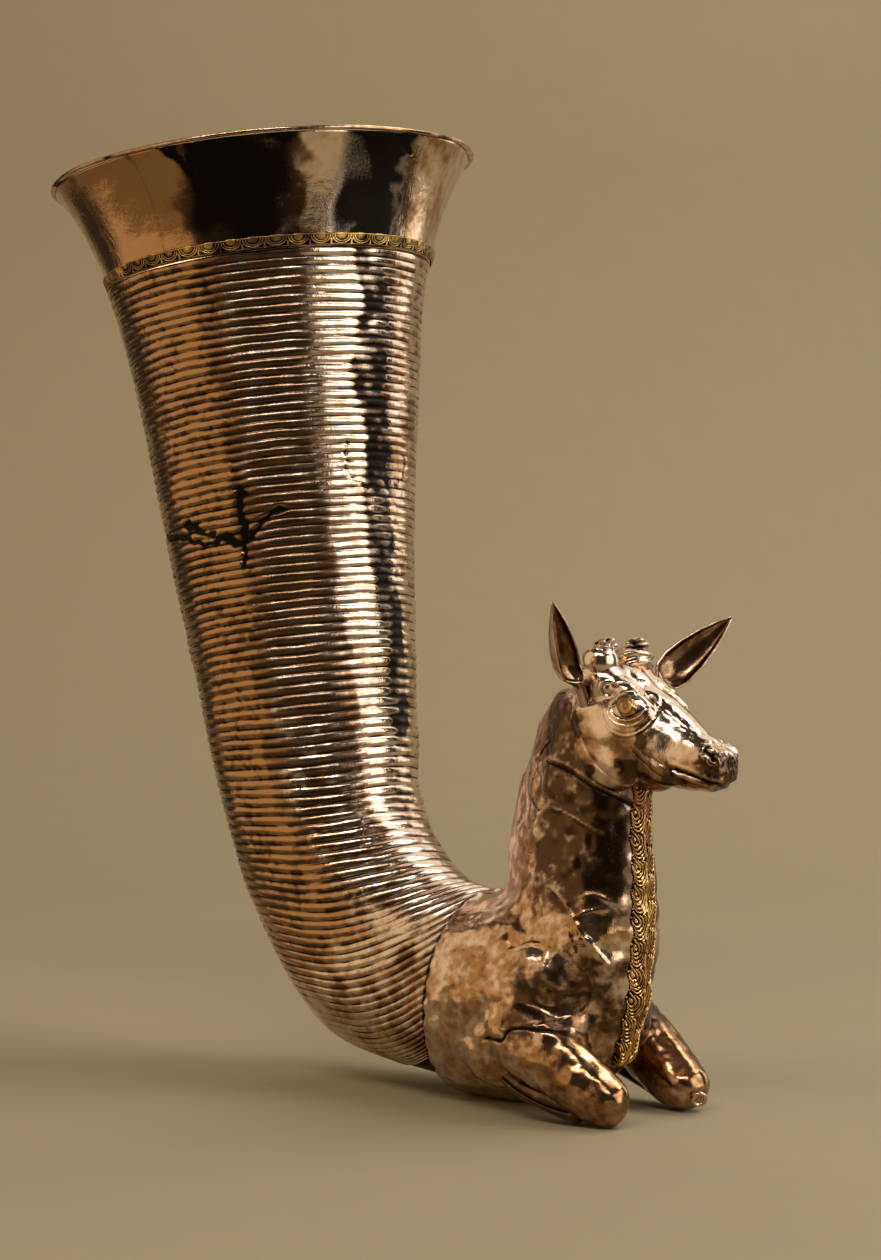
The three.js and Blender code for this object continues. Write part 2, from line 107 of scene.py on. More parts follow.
class HornSettings(bpy.types.PropertyGroup):
    """Line, section and relief of the horn and its mouth."""

    start_height: size("Start height", "Height of the horn's line where it starts", 34.6)
    start_heading: turn("Start heading", "Heading of the line there, turned up from forward", 166)
    straight: size("Straight", "Straight stretch behind the chest", 8)
    bend_radius: size("Bend radius", "Radius of the bend, on the line", 85)
    bend_turn: turn("Bend turn", "How far the bend turns up", 66.5)
    shaft: size("Shaft", "Length of the rising stretch, up to the mouth", 216.8)
    shaft_turn: turn("Shaft turn", "How far the rising stretch turns", 4)
    neck_radius: size("Neck radius", "Radius at the chest", 34.6)
    shaft_radius: size("Shaft radius", "Radius that the taper reaches at the mouth", 60.5)
    rim_radius: size("Rim radius", "Radius of the flared rim", 75)
    flick: size("Flick", "The mouth's last turn outwards", 1.2)
    flick_length: size("Flick length", "Length of that turn", 15)
    taper_from: size("Taper from", "Length at which the horn starts to widen", 85)
    taper_power: amount("Taper power", "How much the taper grows along the horn", 1.15)
    flare: size("Flare", "Length of the flare below the rim", 60.8)
    start_width: amount("Start width", "Width over height of the section at the start", 0.82)
    round_from: size("Round from", "Length from which the horn is round", 95)
    heel_rise: size("Heel", "How far the bend's outer side stands out", 7.6)
    heel_at: size("Heel place", "Length at which it stands out most", 42)
    heel_spread: size("Heel spread", "How far the heel reaches along the horn", 22)
    drawn_in: size("Drawn in", "How far the outer side is drawn in at the chest", 3.6)
    drawn_until: size("Drawn until", "Length at which that ends", 44)
    mouth: size("Mouth", "Length of the plain mouth above the ribs", 37.7)
    warp: size("Warp", "How far the mouth's left side is bent up", 3.1)
    warp_from: size("Warp from", "Length at which the warp starts", 150)
    wall: size("Wall", "Thickness of the sheet", 0.9)
    rib_pitch: size("Rib pitch", "Distance between two ribs", 3.1)
    rib_height: size("Rib height", "How far a rib stands out", 0.6)
    rib_slope: turn("Rib slope", "Slope of the ribs behind the bend", -2)
    rib_curve: amount("Rib curve", "Slope that a rib gains on each millimetre", 0.015)
    ribs_square: size("Ribs square", "Rib length above which the ribs run square", 160)
    band_height: size("Band height", "Height of the gilt band", 4.1)
    band_relief: size("Band relief", "How far the gilt band stands out", 0.7)
    lip_height: size("Lip height", "Height of the lip above the mouth's edge", 1.4)
    lip_overhang: size("Lip overhang", "How far the lip stands out past the wall", 0.5)
    seam_reach: size("Seam reach", "How far the chest's edge lies in front of the start", 8)
    seam_bow: size("Seam bow", "How far that edge leans forward at its top", 2.6)
    eggs: bpy.props.IntProperty(name="Eggs", description="Eggs around the gilt band", default=48)


class AnimalSettings(bpy.types.PropertyGroup):
    """Relief of the ibex."""

    body_grain: size("Body grain", "Spacing of the points on the body", 0.72)
    head_grain: size("Head grain", "Spacing of the points on the head", 0.42)
    hammering: size("Hammering", "Depth of the hammered waves in the sheet", 0.5)


class FinishSettings(bpy.types.PropertyGroup):
    """Colours of the metals and of what has settled on them."""

    silver: colour("Silver", "Burnished silver", (0.76, 0.62, 0.50))
    # The warm, brown and black tarnish colours also paint reflections and shade on the horn,
    # mouth, body and head.
    warm: colour("Warm tarnish", "Orange brown tarnish", (0.42, 0.235, 0.11))
    brown: colour("Brown tarnish", "Thick brown tarnish", (0.085, 0.05, 0.028))
    soot: colour("Black tarnish", "Black tarnish in the grooves", (0.012, 0.009, 0.007))
    gold: colour("Gold", "Fire gilding", (0.72, 0.46, 0.16))


class StageSettings(bpy.types.PropertyGroup):
    """Floor, lamps and camera."""

    floor: colour("Floor", "Floor and backdrop", (0.32, 0.272, 0.160))
    world: colour("World", "Dim light from the room", (0.05, 0.04, 0.03))
    focal_length: amount("Focal length", "Focal length in millimetres on a 36 mm frame", 77.03)
    azimuth: turn("Azimuth", "Direction of the camera, round from the animal's right", 43.1)
    tilt: turn("Tilt", "Downward tilt of the camera", 0.28)
    eye_height: size("Eye height", "Height of the camera", 160)


# Numbers


def smooth(values, low, high):
    """0 below low, 1 above high and a smooth step between."""
    part = np.clip((values - low) / (high - low), 0, 1)
    return part * part * (3 - 2 * part)


def bell(values, width):
    """1 at nought, falling off on both sides."""
    return np.exp(-((values / width) ** 2))


def noise(points, grain, seed):
    """Smooth noise from -1 to 1 with blobs about one grain across."""
    cell = points / grain
    base = np.floor(cell).astype(np.int64)
    part = cell - base
    part = part * part * (3 - 2 * part)
    total = np.zeros(points.shape[:-1])
    for corner in np.ndindex(2, 2, 2):
        key = base + corner
        code = key[..., 0] * 374761393 + key[..., 1] * 668265263 + key[..., 2] * 2147483647
        code = (code + seed * 1274126177) & 0xFFFFFFFF
        code = ((code ^ (code >> 13)) * 1103515245) & 0xFFFFFFFF
        value = ((code ^ (code >> 16)) & 0xFFFF) / 32767.5 - 1
        weight = np.prod(np.where(corner, part, 1 - part), axis=-1)
        total += weight * value
    return total


def ring_angles(count):
    """This many angles, spread evenly round a full turn."""
    return np.arange(count) / count * 2 * math.pi


def spline(rows, steps):
    """Points of a smooth curve through the rows, with this many steps for each stretch."""
    rows = np.asarray(rows, float)
    padded = np.vstack([2 * rows[0] - rows[1], rows, 2 * rows[-1] - rows[-2]])
    t = np.linspace(0, 1, steps, endpoint=False)[:, None]
    parts = []
    for a, b, c, d in zip(padded, padded[1:], padded[2:], padded[3:]):
        cubic = (3 * b - a - 3 * c + d) * t**3 + (2 * a - 5 * b + 4 * c - d) * t**2
        parts.append(0.5 * (2 * b + (c - a) * t + cubic))
    return np.vstack(parts + [rows[-1:]])


def line_distance(points, line):
    """Distance of each point from a polyline, and how far along it the nearest place is."""
    best = np.full(len(points), np.inf)
    place = np.zeros(len(points))
    lengths = np.linalg.norm(np.diff(line, axis=0), axis=1)
    gone = 0.0
    for start, end, length in zip(line, line[1:], lengths):
        step = end - start
        part = np.clip((points - start) @ step / (step @ step), 0, 1)
        reach = np.linalg.norm(points - start - part[:, None] * step, axis=1)
        closer = reach < best
        best[closer] = reach[closer]
        place[closer] = (gone + part[closer] * length) / lengths.sum()
        gone += length
    return best, place


# Meshes


def skin(rings, joined=False):
    """A closed skin over rings of equal length: capped at the ends, or joined end to start."""
    count, sides = rings.shape[:2]
    points = rings.reshape(-1, 3)
    here = np.arange(count if joined else count - 1)[:, None] * sides
    ahead = (here + sides) % (count * sides)
    j = np.arange(sides)[None]
    k = (j + 1) % sides
    quads = np.stack([here + j, ahead + j, ahead + k, here + k], axis=-1).reshape(-1, 4)
    faces = quads.tolist()
    if not joined:
        middles = rings[[0, -1]].mean(axis=1)
        j, k = j[0], k[0]
        first, last, end = len(points), len(points) + 1, (count - 1) * sides
        faces += np.stack([np.full(sides, first), j, k], axis=-1).tolist()
        faces += np.stack([np.full(sides, last), end + k, end + j], axis=-1).tolist()
        points = np.vstack([points, middles])
    return points, faces


def joined_skins(skins):
    """Several skins as the points and faces of one mesh."""
    points, faces = [], []
    for some_points, some_faces in skins:
        start = sum(len(p) for p in points)
        points.append(some_points)
        faces += [[start + i for i in face] for face in some_faces]
    return np.vstack(points), faces


def mesh_of(name, points, faces, layers=None):
    """A smooth mesh from millimetre points, with a layer of numbers for each name."""
    mesh = bpy.data.meshes.new(name)
    mesh.from_pydata((np.asarray(points) * MM).tolist(), [], faces)
    mesh.polygons.foreach_set("use_smooth", np.ones(len(mesh.polygons), bool))
    for layer, values in (layers or {}).items():
        attribute = mesh.attributes.new(layer, "FLOAT", "POINT")
        attribute.data.foreach_set("value", np.clip(values, 0, 1).astype(np.float32).ravel())
    mesh.update()
    return mesh


def add_piece(name, points, faces, material, nodes=(), layers=None):
    """A finished piece of the vessel, which stands for the CAD nodes that it names."""
    piece = bpy.data.objects.new(name, mesh_of(name, points, faces, layers))
    bpy.context.collection.objects.link(piece)
    piece.data.materials.append(material)
    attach(piece, BODY)
    if nodes:
        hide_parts(*nodes)
    return piece


def tarnish(grime, warm=0.0, dark=0.0, worn=0.0, gilt=0.0):
    """The layers of numbers that the silver finish reads, each as large as the first: tarnish,
    dirt and wear, with painted light and shade on some pieces.
    """
    given = {"warm": warm, "dark": dark, "worn": worn, "grime": grime, "gilt": gilt}
    return {name: values + 0 * grime for name, values in given.items()}


def with_caps(layers, value=0):
    """The layers of a skin's rings, with a value for the middle of each cap."""
    return {name: np.append(values.ravel(), [value, value]) for name, values in layers.items()}


def loft(stations, sides=40, steps=6, start=0.0, end=0.0, square=2.0, taper=0.0, first=None):
    """A smooth form through stations [x, y, z, half height, half width].

    The section is an ellipse, squarer with a larger "square" and wider above with "taper".
    Ends can be domed, and "first" can move the first ring's points.
    """
    rows = spline(stations, steps)
    centres, halves = rows[:, :3], rows[:, 3:]
    ahead = np.gradient(centres, axis=0)
    ahead /= np.linalg.norm(ahead, axis=1)[:, None]
    angle = ring_angles(sides)
    height = np.sign(np.cos(angle)) * np.abs(np.cos(angle)) ** (2 / square)
    width = np.sign(np.sin(angle)) * np.abs(np.sin(angle)) ** (2 / square) * (1 + taper * height)

    def ring(centre, direction, half, shrink=1.0):
        across = np.array([0, 1.0, 0]) - direction * direction[1]
        across /= np.linalg.norm(across)
        up = np.cross(direction, across)
        return (
            centre
            + up * (half[0] * shrink * height)[:, None]
            + across * (half[1] * shrink * width)[:, None]
        )

    rings = [ring(*row) for row in zip(centres, ahead, halves)]
    if first is not None:
        rings[0] = first
        fade = len(rings) // 4
        for i in range(1, fade):
            plain = ring(centres[0], ahead[0], halves[0])
            rings[i] = rings[i] + (first - plain) * (1 - i / fade)
    dome_steps = 5
    for at, depth, way in ((0, start, -1), (-1, end, 1)):
        for i in range(1, dome_steps + 1 if depth else 0):
            lean = i / (dome_steps + 0.4) * math.pi / 2
            centre = centres[at] + way * ahead[at] * depth * math.sin(lean)
            extra = ring(centre, ahead[at], halves[at], math.cos(lean))
            rings = rings + [extra] if way > 0 else [extra] + rings
    return skin(np.array(rings))


def blob(centre, radii, heading=0.0, parts=20):
    """An ellipsoid, turned by its heading in the side view."""
    lat = np.linspace(0, math.pi, parts)
    rows = []
    for a in lat[1:-1]:
        angle = ring_angles(parts * 2)
        around = np.stack([np.sin(angle), np.cos(angle)], axis=-1) * math.sin(a)
        rows.append(np.column_stack([np.full(parts * 2, -math.cos(a)), around]))
    points, faces = skin(np.array(rows) * np.asarray(radii, float))
    points[-2:] = np.array([[-1, 0, 0], [1, 0, 0]]) * np.asarray(radii, float)
    c, s = math.cos(math.radians(heading)), math.sin(math.radians(heading))
    rotated = points @ np.array([[c, 0, s], [0, 1, 0], [-s, 0, c]])
    return rotated + np.asarray(centre, float), faces


class Clay:
    """A remeshed skin over several closed forms, which is shaped by moving its points."""

    def __init__(self, forms, grain):
        source = mesh_of("clay", *joined_skins(forms))
        holder = bpy.data.objects.new("clay", source)
        bpy.context.collection.objects.link(holder)
        remesh = holder.modifiers.new("even grain", "REMESH")
        remesh.mode = "VOXEL"
        remesh.voxel_size = grain * MM
        depsgraph = bpy.context.evaluated_depsgraph_get()
        mesh = bpy.data.meshes.new_from_object(holder.evaluated_get(depsgraph))
        count = len(mesh.vertices)
        flat = np.empty(count * 3, np.float32)
        mesh.vertices.foreach_get("co", flat)
        self.points = flat.reshape(-1, 3).astype(float) / MM
        edges = np.empty(len(mesh.edges) * 2, np.int32)
        mesh.edges.foreach_get("vertices", edges)
        self.edges = edges.reshape(-1, 2)
        self.faces = [list(p.vertices) for p in mesh.polygons]
        self.quads = np.array([f if len(f) == 4 else [*f, f[-1]] for f in self.faces])
        self.degree = np.bincount(self.edges.ravel(), minlength=count)
        bpy.data.objects.remove(holder)
        bpy.data.meshes.remove(source)
        bpy.data.meshes.remove(mesh)

    def average(self, values):
        """The mean of each point's neighbours."""
        a, b = self.edges.T
        flat = values.reshape(len(values), -1)
        total = np.stack(
            [
                np.bincount(a, column[b], len(values)) + np.bincount(b, column[a], len(values))
                for column in flat.T
            ],
            axis=-1,
        )
        return (total / self.degree[:, None]).reshape(values.shape)

    def normals(self):
        """Outward directions at the points."""
        corners = self.points[self.quads]
        face = np.cross(corners[:, 2] - corners[:, 0], corners[:, 3] - corners[:, 1])
        total = np.zeros_like(self.points)
        for column in range(4):
            for axis in range(3):
                total[:, axis] += np.bincount(
                    self.quads[:, column], face[:, axis], len(self.points)
                )
        return total / np.maximum(np.linalg.norm(total, axis=1), 1e-12)[:, None]

    def relax(self, rounds):
        """Evens the surface out."""
        for _ in range(rounds):
            self.points += 0.5 * (self.average(self.points) - self.points)

    def fillet(self, rounds):
        """Fills the hollow corners where forms meet, and leaves what is convex alone."""
        for _ in range(rounds):
            move = self.average(self.points) - self.points
            normal = self.normals()
            out = np.maximum(np.einsum("ij,ij->i", move, normal), 0)
            self.points += 0.6 * out[:, None] * normal

    def push(self, distance):
        """Moves each point out by its distance."""
        self.points += self.normals() * np.asarray(distance)[:, None]

    def hollowness(self, spread):
        """How far each point lies below what is around it, in grains: above 0 in a hollow."""
        mean = self.points
        for _ in range(spread):
            mean = self.average(mean)
        return np.einsum("ij,ij->i", mean - self.points, self.normals())


# Materials


class Field:
    """A socket of numbers, which Python's operators work on through Math nodes."""

    def __init__(self, tree, socket):
        self.tree = tree
        self.socket = socket

    def math(self, operation, *values):
        """One Math node on the values."""
        return self.tree.node("Math", {"operation": operation}, *values)

    def __add__(self, other):
        return self.math("ADD", self, other)

    __radd__ = __add__

    def __sub__(self, other):
        return self.math("SUBTRACT", self, other)

    def __rsub__(self, other):
        return self.math("SUBTRACT", other, self)

    def __mul__(self, other):
        return self.math("MULTIPLY", self, other)

    __rmul__ = __mul__

    def step(self, low, high):
        """0 below low, 1 above high and a smooth step between."""
        settings = {"interpolation_type": "SMOOTHSTEP"}
        return self.tree.node("MapRange", settings, self, low, high, 0.0, 1.0)

    def clipped(self):
        """The value held between 0 and 1."""
        return self.tree.node("Clamp", {}, self, 0.0, 1.0)


class Finish:
    """A material that is written as expressions."""

    def __init__(self, name):
        self.material = bpy.data.materials.new(name)
        self.material.use_nodes = True
        self.nodes = self.material.node_tree.nodes
        self.nodes.clear()
        self.place = self.node("TexCoord", {}, output="Object")

    def node(self, kind, settings, *values, output=0, **named):
        """Adds a node: its settings first, then its sockets in order or by name."""
        node = self.nodes.new("ShaderNode" + kind)
        for name, value in settings.items():
            setattr(node, name, value)
        free = [socket for socket in node.inputs if socket.enabled]
        pairs = list(zip(free, values))
        pairs += [(node.inputs[name.replace("_", " ")], value) for name, value in named.items()]
        for socket, value in pairs:
            if isinstance(value, Field):
                self.material.node_tree.links.new(value.socket, socket)
            elif socket.type == "RGBA" and len(value) == 3:
                socket.default_value = (*value, 1)
            else:
                socket.default_value = value
        if isinstance(output, str):
            return Field(self, node.outputs[output])
        outputs = [socket for socket in node.outputs if socket.enabled]
        return Field(self, outputs[output]) if outputs else None

    def layer(self, name):
        """A layer of numbers that the mesh carries."""
        return self.node("Attribute", {"attribute_name": name}, output="Fac")

    def cloud(self, scale, detail=3.0, rough=0.55):
        """Soft noise from 0 to 1; the scale counts blobs in a metre."""
        settings = {"noise_dimensions": "3D"}
        return self.node(
            "TexNoise", settings, Vector=self.place, Scale=scale, Detail=detail, Roughness=rough
        )

    def mix(self, share, low, high):
        """One colour over another."""
        settings = {"data_type": "RGBA"}
        return self.node("Mix", settings, share, low, high)

    def shade(self, base, roughness, height, metallic=1.0, depth=0.0004, one_sided=False):
        """Closes the material with a Principled shader, clear from behind if one-sided."""
        normal = self.node("Bump", {}, Strength=0.6, Distance=depth, Height=height)
        shader = self.node(
            "BsdfPrincipled",
            {},
            Base_Color=base,
            Metallic=metallic,
            Roughness=roughness,
            Normal=normal,
        )
        if one_sided:
            from_behind = self.node("NewGeometry", {}, output="Backfacing")
            clear = self.node("BsdfTransparent", {})
            shader = self.node("MixShader", {}, from_behind, shader, clear)
        self.node("OutputMaterial", {}, Surface=shader)
        return self.material


@functools.cache
def silver_finish(name="worn_silver", polish=0.0, gloom=0.0):
    """Old silver, made once: bright where rubbed and where a highlight is painted, brown in
    patches and in painted dark zones, and black in its grooves and in painted black zones.
    """
    look = bpy.context.scene.rhyton_finish
    metal = Finish(name)
    patch = metal.cloud(26.0, 5.0, 0.6)
    mottle = metal.cloud(150.0, 6.0, 0.62)
    fleck = metal.cloud(420.0, 4.0, 0.6)
    speck = metal.cloud(1300.0, 3.0, 0.6)
    warm = metal.layer("warm")
    dark = metal.layer("dark")
    grime = metal.layer("grime")
    worn = metal.layer("worn")
    brown = (patch * 0.4 + mottle * 0.4 + fleck * 0.3 + warm * 0.42 - polish).step(0.48, 0.78)
    # Brown where the tarnish is thick and where the dark layer paints dark reflections and shade.
    tarnish_and_painted_dark = (patch * 0.25 + mottle * 0.35 + fleck * 0.4 + dark * 0.5 + gloom).step(0.55, 0.9)
    base = metal.mix(brown, tuple(look.silver), tuple(look.warm))
    base = metal.mix(tarnish_and_painted_dark * (1 - worn * 0.85), base, tuple(look.brown))
    pits = (fleck * 0.6 + speck * 0.4 - worn * 0.1).step(0.6, 0.72) * 0.7
    black = (grime + (speck - 0.5) * 0.35).step(0.3, 0.85)
    black = (black + pits * (1 - black)).clipped()
    base = metal.mix(black, base, tuple(look.soot))
    gilt = metal.layer("gilt")
    gold = (gilt + (mottle - 0.5) * 0.5).step(0.35, 0.65) * (1 - black)
    base = metal.mix(gold, base, tuple(look.gold))
    rough = mottle * 0.12 + speck * 0.06 + tarnish_and_painted_dark * 0.1 + black * 0.35 + 0.05
    height = mottle * 0.7 + fleck * 0.3 + speck * 0.1 - black * 0.3
    return metal.shade(base, rough.clipped(), height, depth=0.00045)


@functools.cache
def gilt_finish():
    """Worn fire gilding with brown showing through, made once."""
    look = bpy.context.scene.rhyton_finish
    metal = Finish("worn_gilding")
    patch = metal.cloud(60.0, 5.0, 0.6)
    mottle = metal.cloud(320.0, 5.0, 0.6)
    speck = metal.cloud(1500.0, 3.0, 0.6)
    grime = metal.layer("grime")
    rubbed = (patch * 0.6 + mottle * 0.4).step(0.48, 0.6)
    base = metal.mix(rubbed * 0.8, tuple(look.gold), tuple(look.warm))
    black = (grime + (mottle - 0.5) * 0.5 + (speck - 0.5) * 0.2).step(0.25, 0.8)
    base = metal.mix(black, base, tuple(look.soot))
    rough = mottle * 0.15 + black * 0.4 + 0.16
    return metal.shade(base, rough.clipped(), mottle * 0.5 + speck * 0.3)


# The horn

FACING = 226.9  # angle round the horn of the side between the animal's right and its front


class Horn:
    """The horn's line and sections, in millimetres, at lengths counted along the line."""

    STEP = 0.25
    BEFORE = 200.0
    RIBS_BELOW = 14.0  # length of ribs below the start, on the outer side
    JOINT = 0.15  # half the gap between the ribbed sheet and the mouth
    RIB_FOOT = 0.45  # how far the valleys of the ribs lie below the horn's own surface
    DEEPEST = 1.0  # how far below that surface a dent or crack may reach
    INSIDE = 2.6  # how far the inner side of the ribbed sheet lies below it
    WARP_LEVEL = 0.19  # share of the warp that the whole rim is lowered by
    CURVE_FROM = (-20.8, -52.8)  # where ribs start to curve, low and high, from the start

    def __init__(self):
        sizes = bpy.context.scene.rhyton_horn
        for name in HornSettings.__annotations__:
            setattr(self, name, getattr(sizes, name))
            prop = sizes.bl_rna.properties[name]
            if prop.type == "FLOAT" and prop.unit == "LENGTH":
                setattr(self, name, getattr(sizes, name) / MM)
        self.bend = self.bend_radius * self.bend_turn
        self.length = self.straight + self.bend + self.shaft
        self.ribs_end = self.length - self.mouth
        self.grid = np.arange(-self.BEFORE, self.length + self.STEP * 8, self.STEP)
        heading = self.heading(self.grid)
        steps = np.stack([np.cos(heading), np.sin(heading)], axis=-1)
        middles = (steps[1:] + steps[:-1]) / 2 * self.STEP
        line = np.vstack([np.zeros(2), np.cumsum(middles, axis=0)])
        start = int(round(self.BEFORE / self.STEP))
        line = line - line[start] + (0, self.start_height)
        mouth = line[-1] - steps[-1] * (self.grid[-1] - self.length - self.lip_height / 2)
        low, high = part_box("rim_lip")
        self.start_x = (low.x + high.x) / 2 / MM - mouth[0]
        self.line = line + (self.start_x, 0)

    def heading(self, length):
        """The line's heading in radians, turned up from forward."""
        bent = np.clip((length - self.straight) / self.bend, 0, 1)
        risen = np.clip((length - self.straight - self.bend) / self.shaft, 0, 1)
        return self.start_heading - self.bend_turn * bent - self.shaft_turn * risen

    def along(self, length, start):
        """0 until the start, and 1 at the mouth."""
        return np.maximum(0, (length - start) / (self.length - start))

    def radius(self, length):
        """The section's half height."""
        taper = self.along(length, self.taper_from) ** self.taper_power
        flare = self.along(length, self.length - self.flare) ** 2
        flick = self.along(length, self.length - self.flick_length) ** 2
        wide = self.neck_radius + (self.shaft_radius - self.neck_radius) * taper
        return wide + (self.rim_radius - self.shaft_radius) * flare + self.flick * flick

    def surface(self, length, angle, grow):
        """Points on the horn; the angle is 0 behind and a quarter turn on the animal's left."""
        length, angle, grow = np.broadcast_arrays(length, angle, grow)
        x = np.interp(length, self.grid, self.line[:, 0])
        z = np.interp(length, self.grid, self.line[:, 1])
        heading = self.heading(length)
        radius = self.radius(length)
        heel = self.heel_rise * bell(length - self.heel_at, self.heel_spread)
        heel = heel - self.drawn_in * (1 - smooth(length, 0, self.drawn_until))
        out = radius + grow + heel * np.maximum(np.cos(angle), 0) ** 2
        width = self.start_width + (1 - self.start_width) * smooth(length, 0, self.round_from)
        up = out * np.cos(angle)
        side = (radius * width + grow) * np.sin(angle)
        bent = self.along(length, self.warp_from) ** 1.5 * radius / self.rim_radius
        bent = bent * self.warp * (np.sin(angle) - self.WARP_LEVEL)
        x = x - np.sin(heading) * up + np.cos(heading) * bent
        z = z + np.cos(heading) * up + np.sin(heading) * bent
        return np.stack([x, side, z], axis=-1)

    def find(self, angle, passed):
        """The length on each side of the horn from which its points have passed something."""
        low = np.full(np.shape(angle), -self.BEFORE)
        high = np.full(np.shape(angle), self.length)
        for _ in range(22):
            middle = (low + high) / 2
            gone = passed(self.surface(middle, angle, 0))
            low, high = np.where(gone, low, middle), np.where(gone, middle, high)
        return high

    def seam(self, angle):
        """The length at which each side of the horn enters the chest."""
        edge = self.start_x + self.seam_reach - self.seam_bow * np.cos(angle)
        return self.find(angle, lambda points: points[..., 0] < edge)

    def rib_length(self, rib, angle):
        """Where a rib crosses each side; ribs are counted in lengths on the outer side.

        Ribs run square round the shaft. Round the bend each one lies almost level, and curves
        up towards the chest.
        """
        bend_end = self.straight + self.bend
        stretch = 1 + self.neck_radius / self.bend_radius
        below = np.maximum(bend_end - rib, 0)
        in_bend = np.minimum(below / stretch, self.bend)
        behind = np.maximum(rib, bend_end) - in_bend - (below - in_bend * stretch)
        start = self.surface(behind, 0.0, 0.0)
        square = smooth(rib, self.ribs_square - 100, self.ribs_square)
        slope = self.rib_slope + (self.heading(behind) - math.pi / 2 - self.rib_slope) * square
        bent = self.rib_curve * (1 - smooth(rib, self.ribs_square - 60, self.ribs_square))
        low, high = self.CURVE_FROM
        high_share = smooth(rib, -50, self.ribs_square - 60)
        curve_from = self.start_x + low + (high - low) * high_share

        def passed(points):
            x = points[..., 0]
            gained = np.maximum(0, x - curve_from) ** 2
            gained = gained - np.maximum(0, start[..., 0] - curve_from) ** 2
            height = start[..., 2] + np.tan(slope) * (x - start[..., 0]) + bent / 2 * gained
            return points[..., 2] > height

        low_ribs = self.find(angle + 0 * rib, passed)
        return np.where(rib < self.ribs_square, low_ribs, rib)

    def places(self, length, angle):
        """Places on the unrolled horn, in millimetres: along it, and round it from its face."""
        length, angle = np.broadcast_arrays(length, angle)
        round_it = (math.radians(FACING) - angle + math.pi) % (2 * math.pi) - math.pi
        return np.stack([length, round_it * self.radius(length), 0 * length], axis=-1)

    def unroll(self, marks):
        """Marks [length, degrees right of the face] as places on the unrolled horn."""
        marks = np.asarray(marks, float)
        return np.column_stack([marks[:, 0], np.radians(marks[:, 1]) * self.radius(marks[:, 0])])

    def noise(self, places, grain, seed, stretch=(1, 1, 1)):
        """Noise on the unrolled horn that runs on across the line where its sheet meets."""
        total = noise(places * stretch, grain, seed)
        way_round = 2 * math.pi * self.radius(places[..., 0])
        share = 0.5 * smooth(np.abs(places[..., 1]) / way_round, 0.43, 0.5)
        near = share > 0
        far = places[near]
        far[:, 1] -= np.sign(far[:, 1]) * way_round[near]
        total[near] += (noise(far * stretch, grain, seed) - total[near]) * share[near]
        return total


# Cracks on the horn, and painted dark edges of reflections, as [length, degrees right of its face]
HORN_CRACKS = [
    [[198, -92], [193, -66], [191, -55], [189, -46], [187.5, -41], [188.5, -29], [184.8, -19.6]],
    [[196, -50], [192, -42], [190.5, -36]],
    [[203, -18], [197, -20.5], [191.5, -18.5], [184.8, -19.6], [178, -21]],
    [[185, -20], [189, -15], [193, -8], [196, -2]],
]
FINE_CRACKS = [
    [[218, 29.4], [212.8, 29.6], [207.5, 29.2], [204, 34], [202, 40]],
    [[214, 66], [210, 68], [205, 64], [203, 58]],
]
# Painted dark edges of reflections that run down the horn.
PAINTED_REFLECTION_EDGES = [
    [[286, -22], [268, -20.5], [250, -22], [232, -20], [214, -21], [203, -19], [190, -18.5]],
    [[176, -18], [162, -16], [151, -11]],
    [[283, 50], [262, 51], [244, 50], [226, 52], [208, 50], [190, 55], [172, 56], [150, 60]],
]
MOUTH_CRACKS = [
    [[323, -24], [320, -21], [316, -19], [312.5, -18]],
    [[323, -15], [318, -16.6], [312.5, -17.2]],
    [[323, 41], [321, 43], [317, 49]],
]
# Dents, as [length, degrees right of the face, radius, depth]; a bulge has a depth below 0
HORN_DENTS = [
    [276, -86, 22, -1.3],
    [180, 91, 40, 0.8],
    [96, -88, 14, 0.8],
    [262, 26, 9, 0.5],
    [236, -8, 12, 0.55],
    [212, 12, 10, 0.5],
    [190, -30, 14, 0.9],
    [176, 22, 12, 0.6],
    [158, -4, 14, 0.6],
    [138, 30, 12, 0.7],
    [120, -40, 14, 0.6],
    [100, 8, 12, 0.6],
    [82, 50, 10, 0.7],
    [60, 10, 12, 0.6],
    [205, 60, 9, 0.8],
    [230, 130, 14, 0.7],
    [150, 170, 16, 0.8],
    [110, -150, 14, 0.7],
]


def horn_tarnish_and_painted_reflections(horn, angle, places):
    """Painted reflections mixed with tarnish, in zones round the horn: orange brown on its left,
    dark in front, black on both sides of a painted highlight strip, with random tarnish patches.
    """
    face = (FACING - np.degrees(angle) + 180) % 360 - 180 + 0 * places[..., 0]
    face = face + horn.noise(places, 16, 5) * 4 + horn.noise(places, 5, 8) * 2.5
    patches = horn.noise(places, 7, 9) + horn.noise(places, 3, 10) * 0.7
    length = places[..., 0]
    drift = 14 * (1 - smooth(length, 125, 235))
    upper = 0.15 + 0.85 * smooth(length, 60, 130)
    low = 1 - smooth(length, 20, 70)
    # Painted highlight: the bright strip where a lamp's reflection would lie.
    strip = smooth(face - drift, 11, 17) * smooth(drift - face, -37, -32)
    # Painted reflection: orange brown over the horn's left.
    warm = smooth(face, -84, -76) * smooth(-face, 12, 20)
    behind = np.abs((face + 360) % 360 - 190)
    back = bell(behind, 55) * 0.6
    # Painted dark reflections in front and a black band right of the strip, fading towards the
    # bend.
    dark = smooth(face, -26, -18) * smooth(drift - face, -17, -11) * upper
    dark = dark + bell(face + 62, 9) * 0.3
    black = smooth(face - drift, 33, 38) * smooth(drift - face, -56, -48) * upper
    warm = np.maximum(warm, back) * (0.9 - 0.7 * low) + 0.2 * (1 - low)
    return tarnish(
        0.62 * black * (1 + 0.5 * patches),
        warm=warm + patches * 0.25 - strip * 0.3,
        dark=dark * 0.75 + patches * 0.3 - strip * 0.2 - low * 0.1,
        worn=strip,
    )


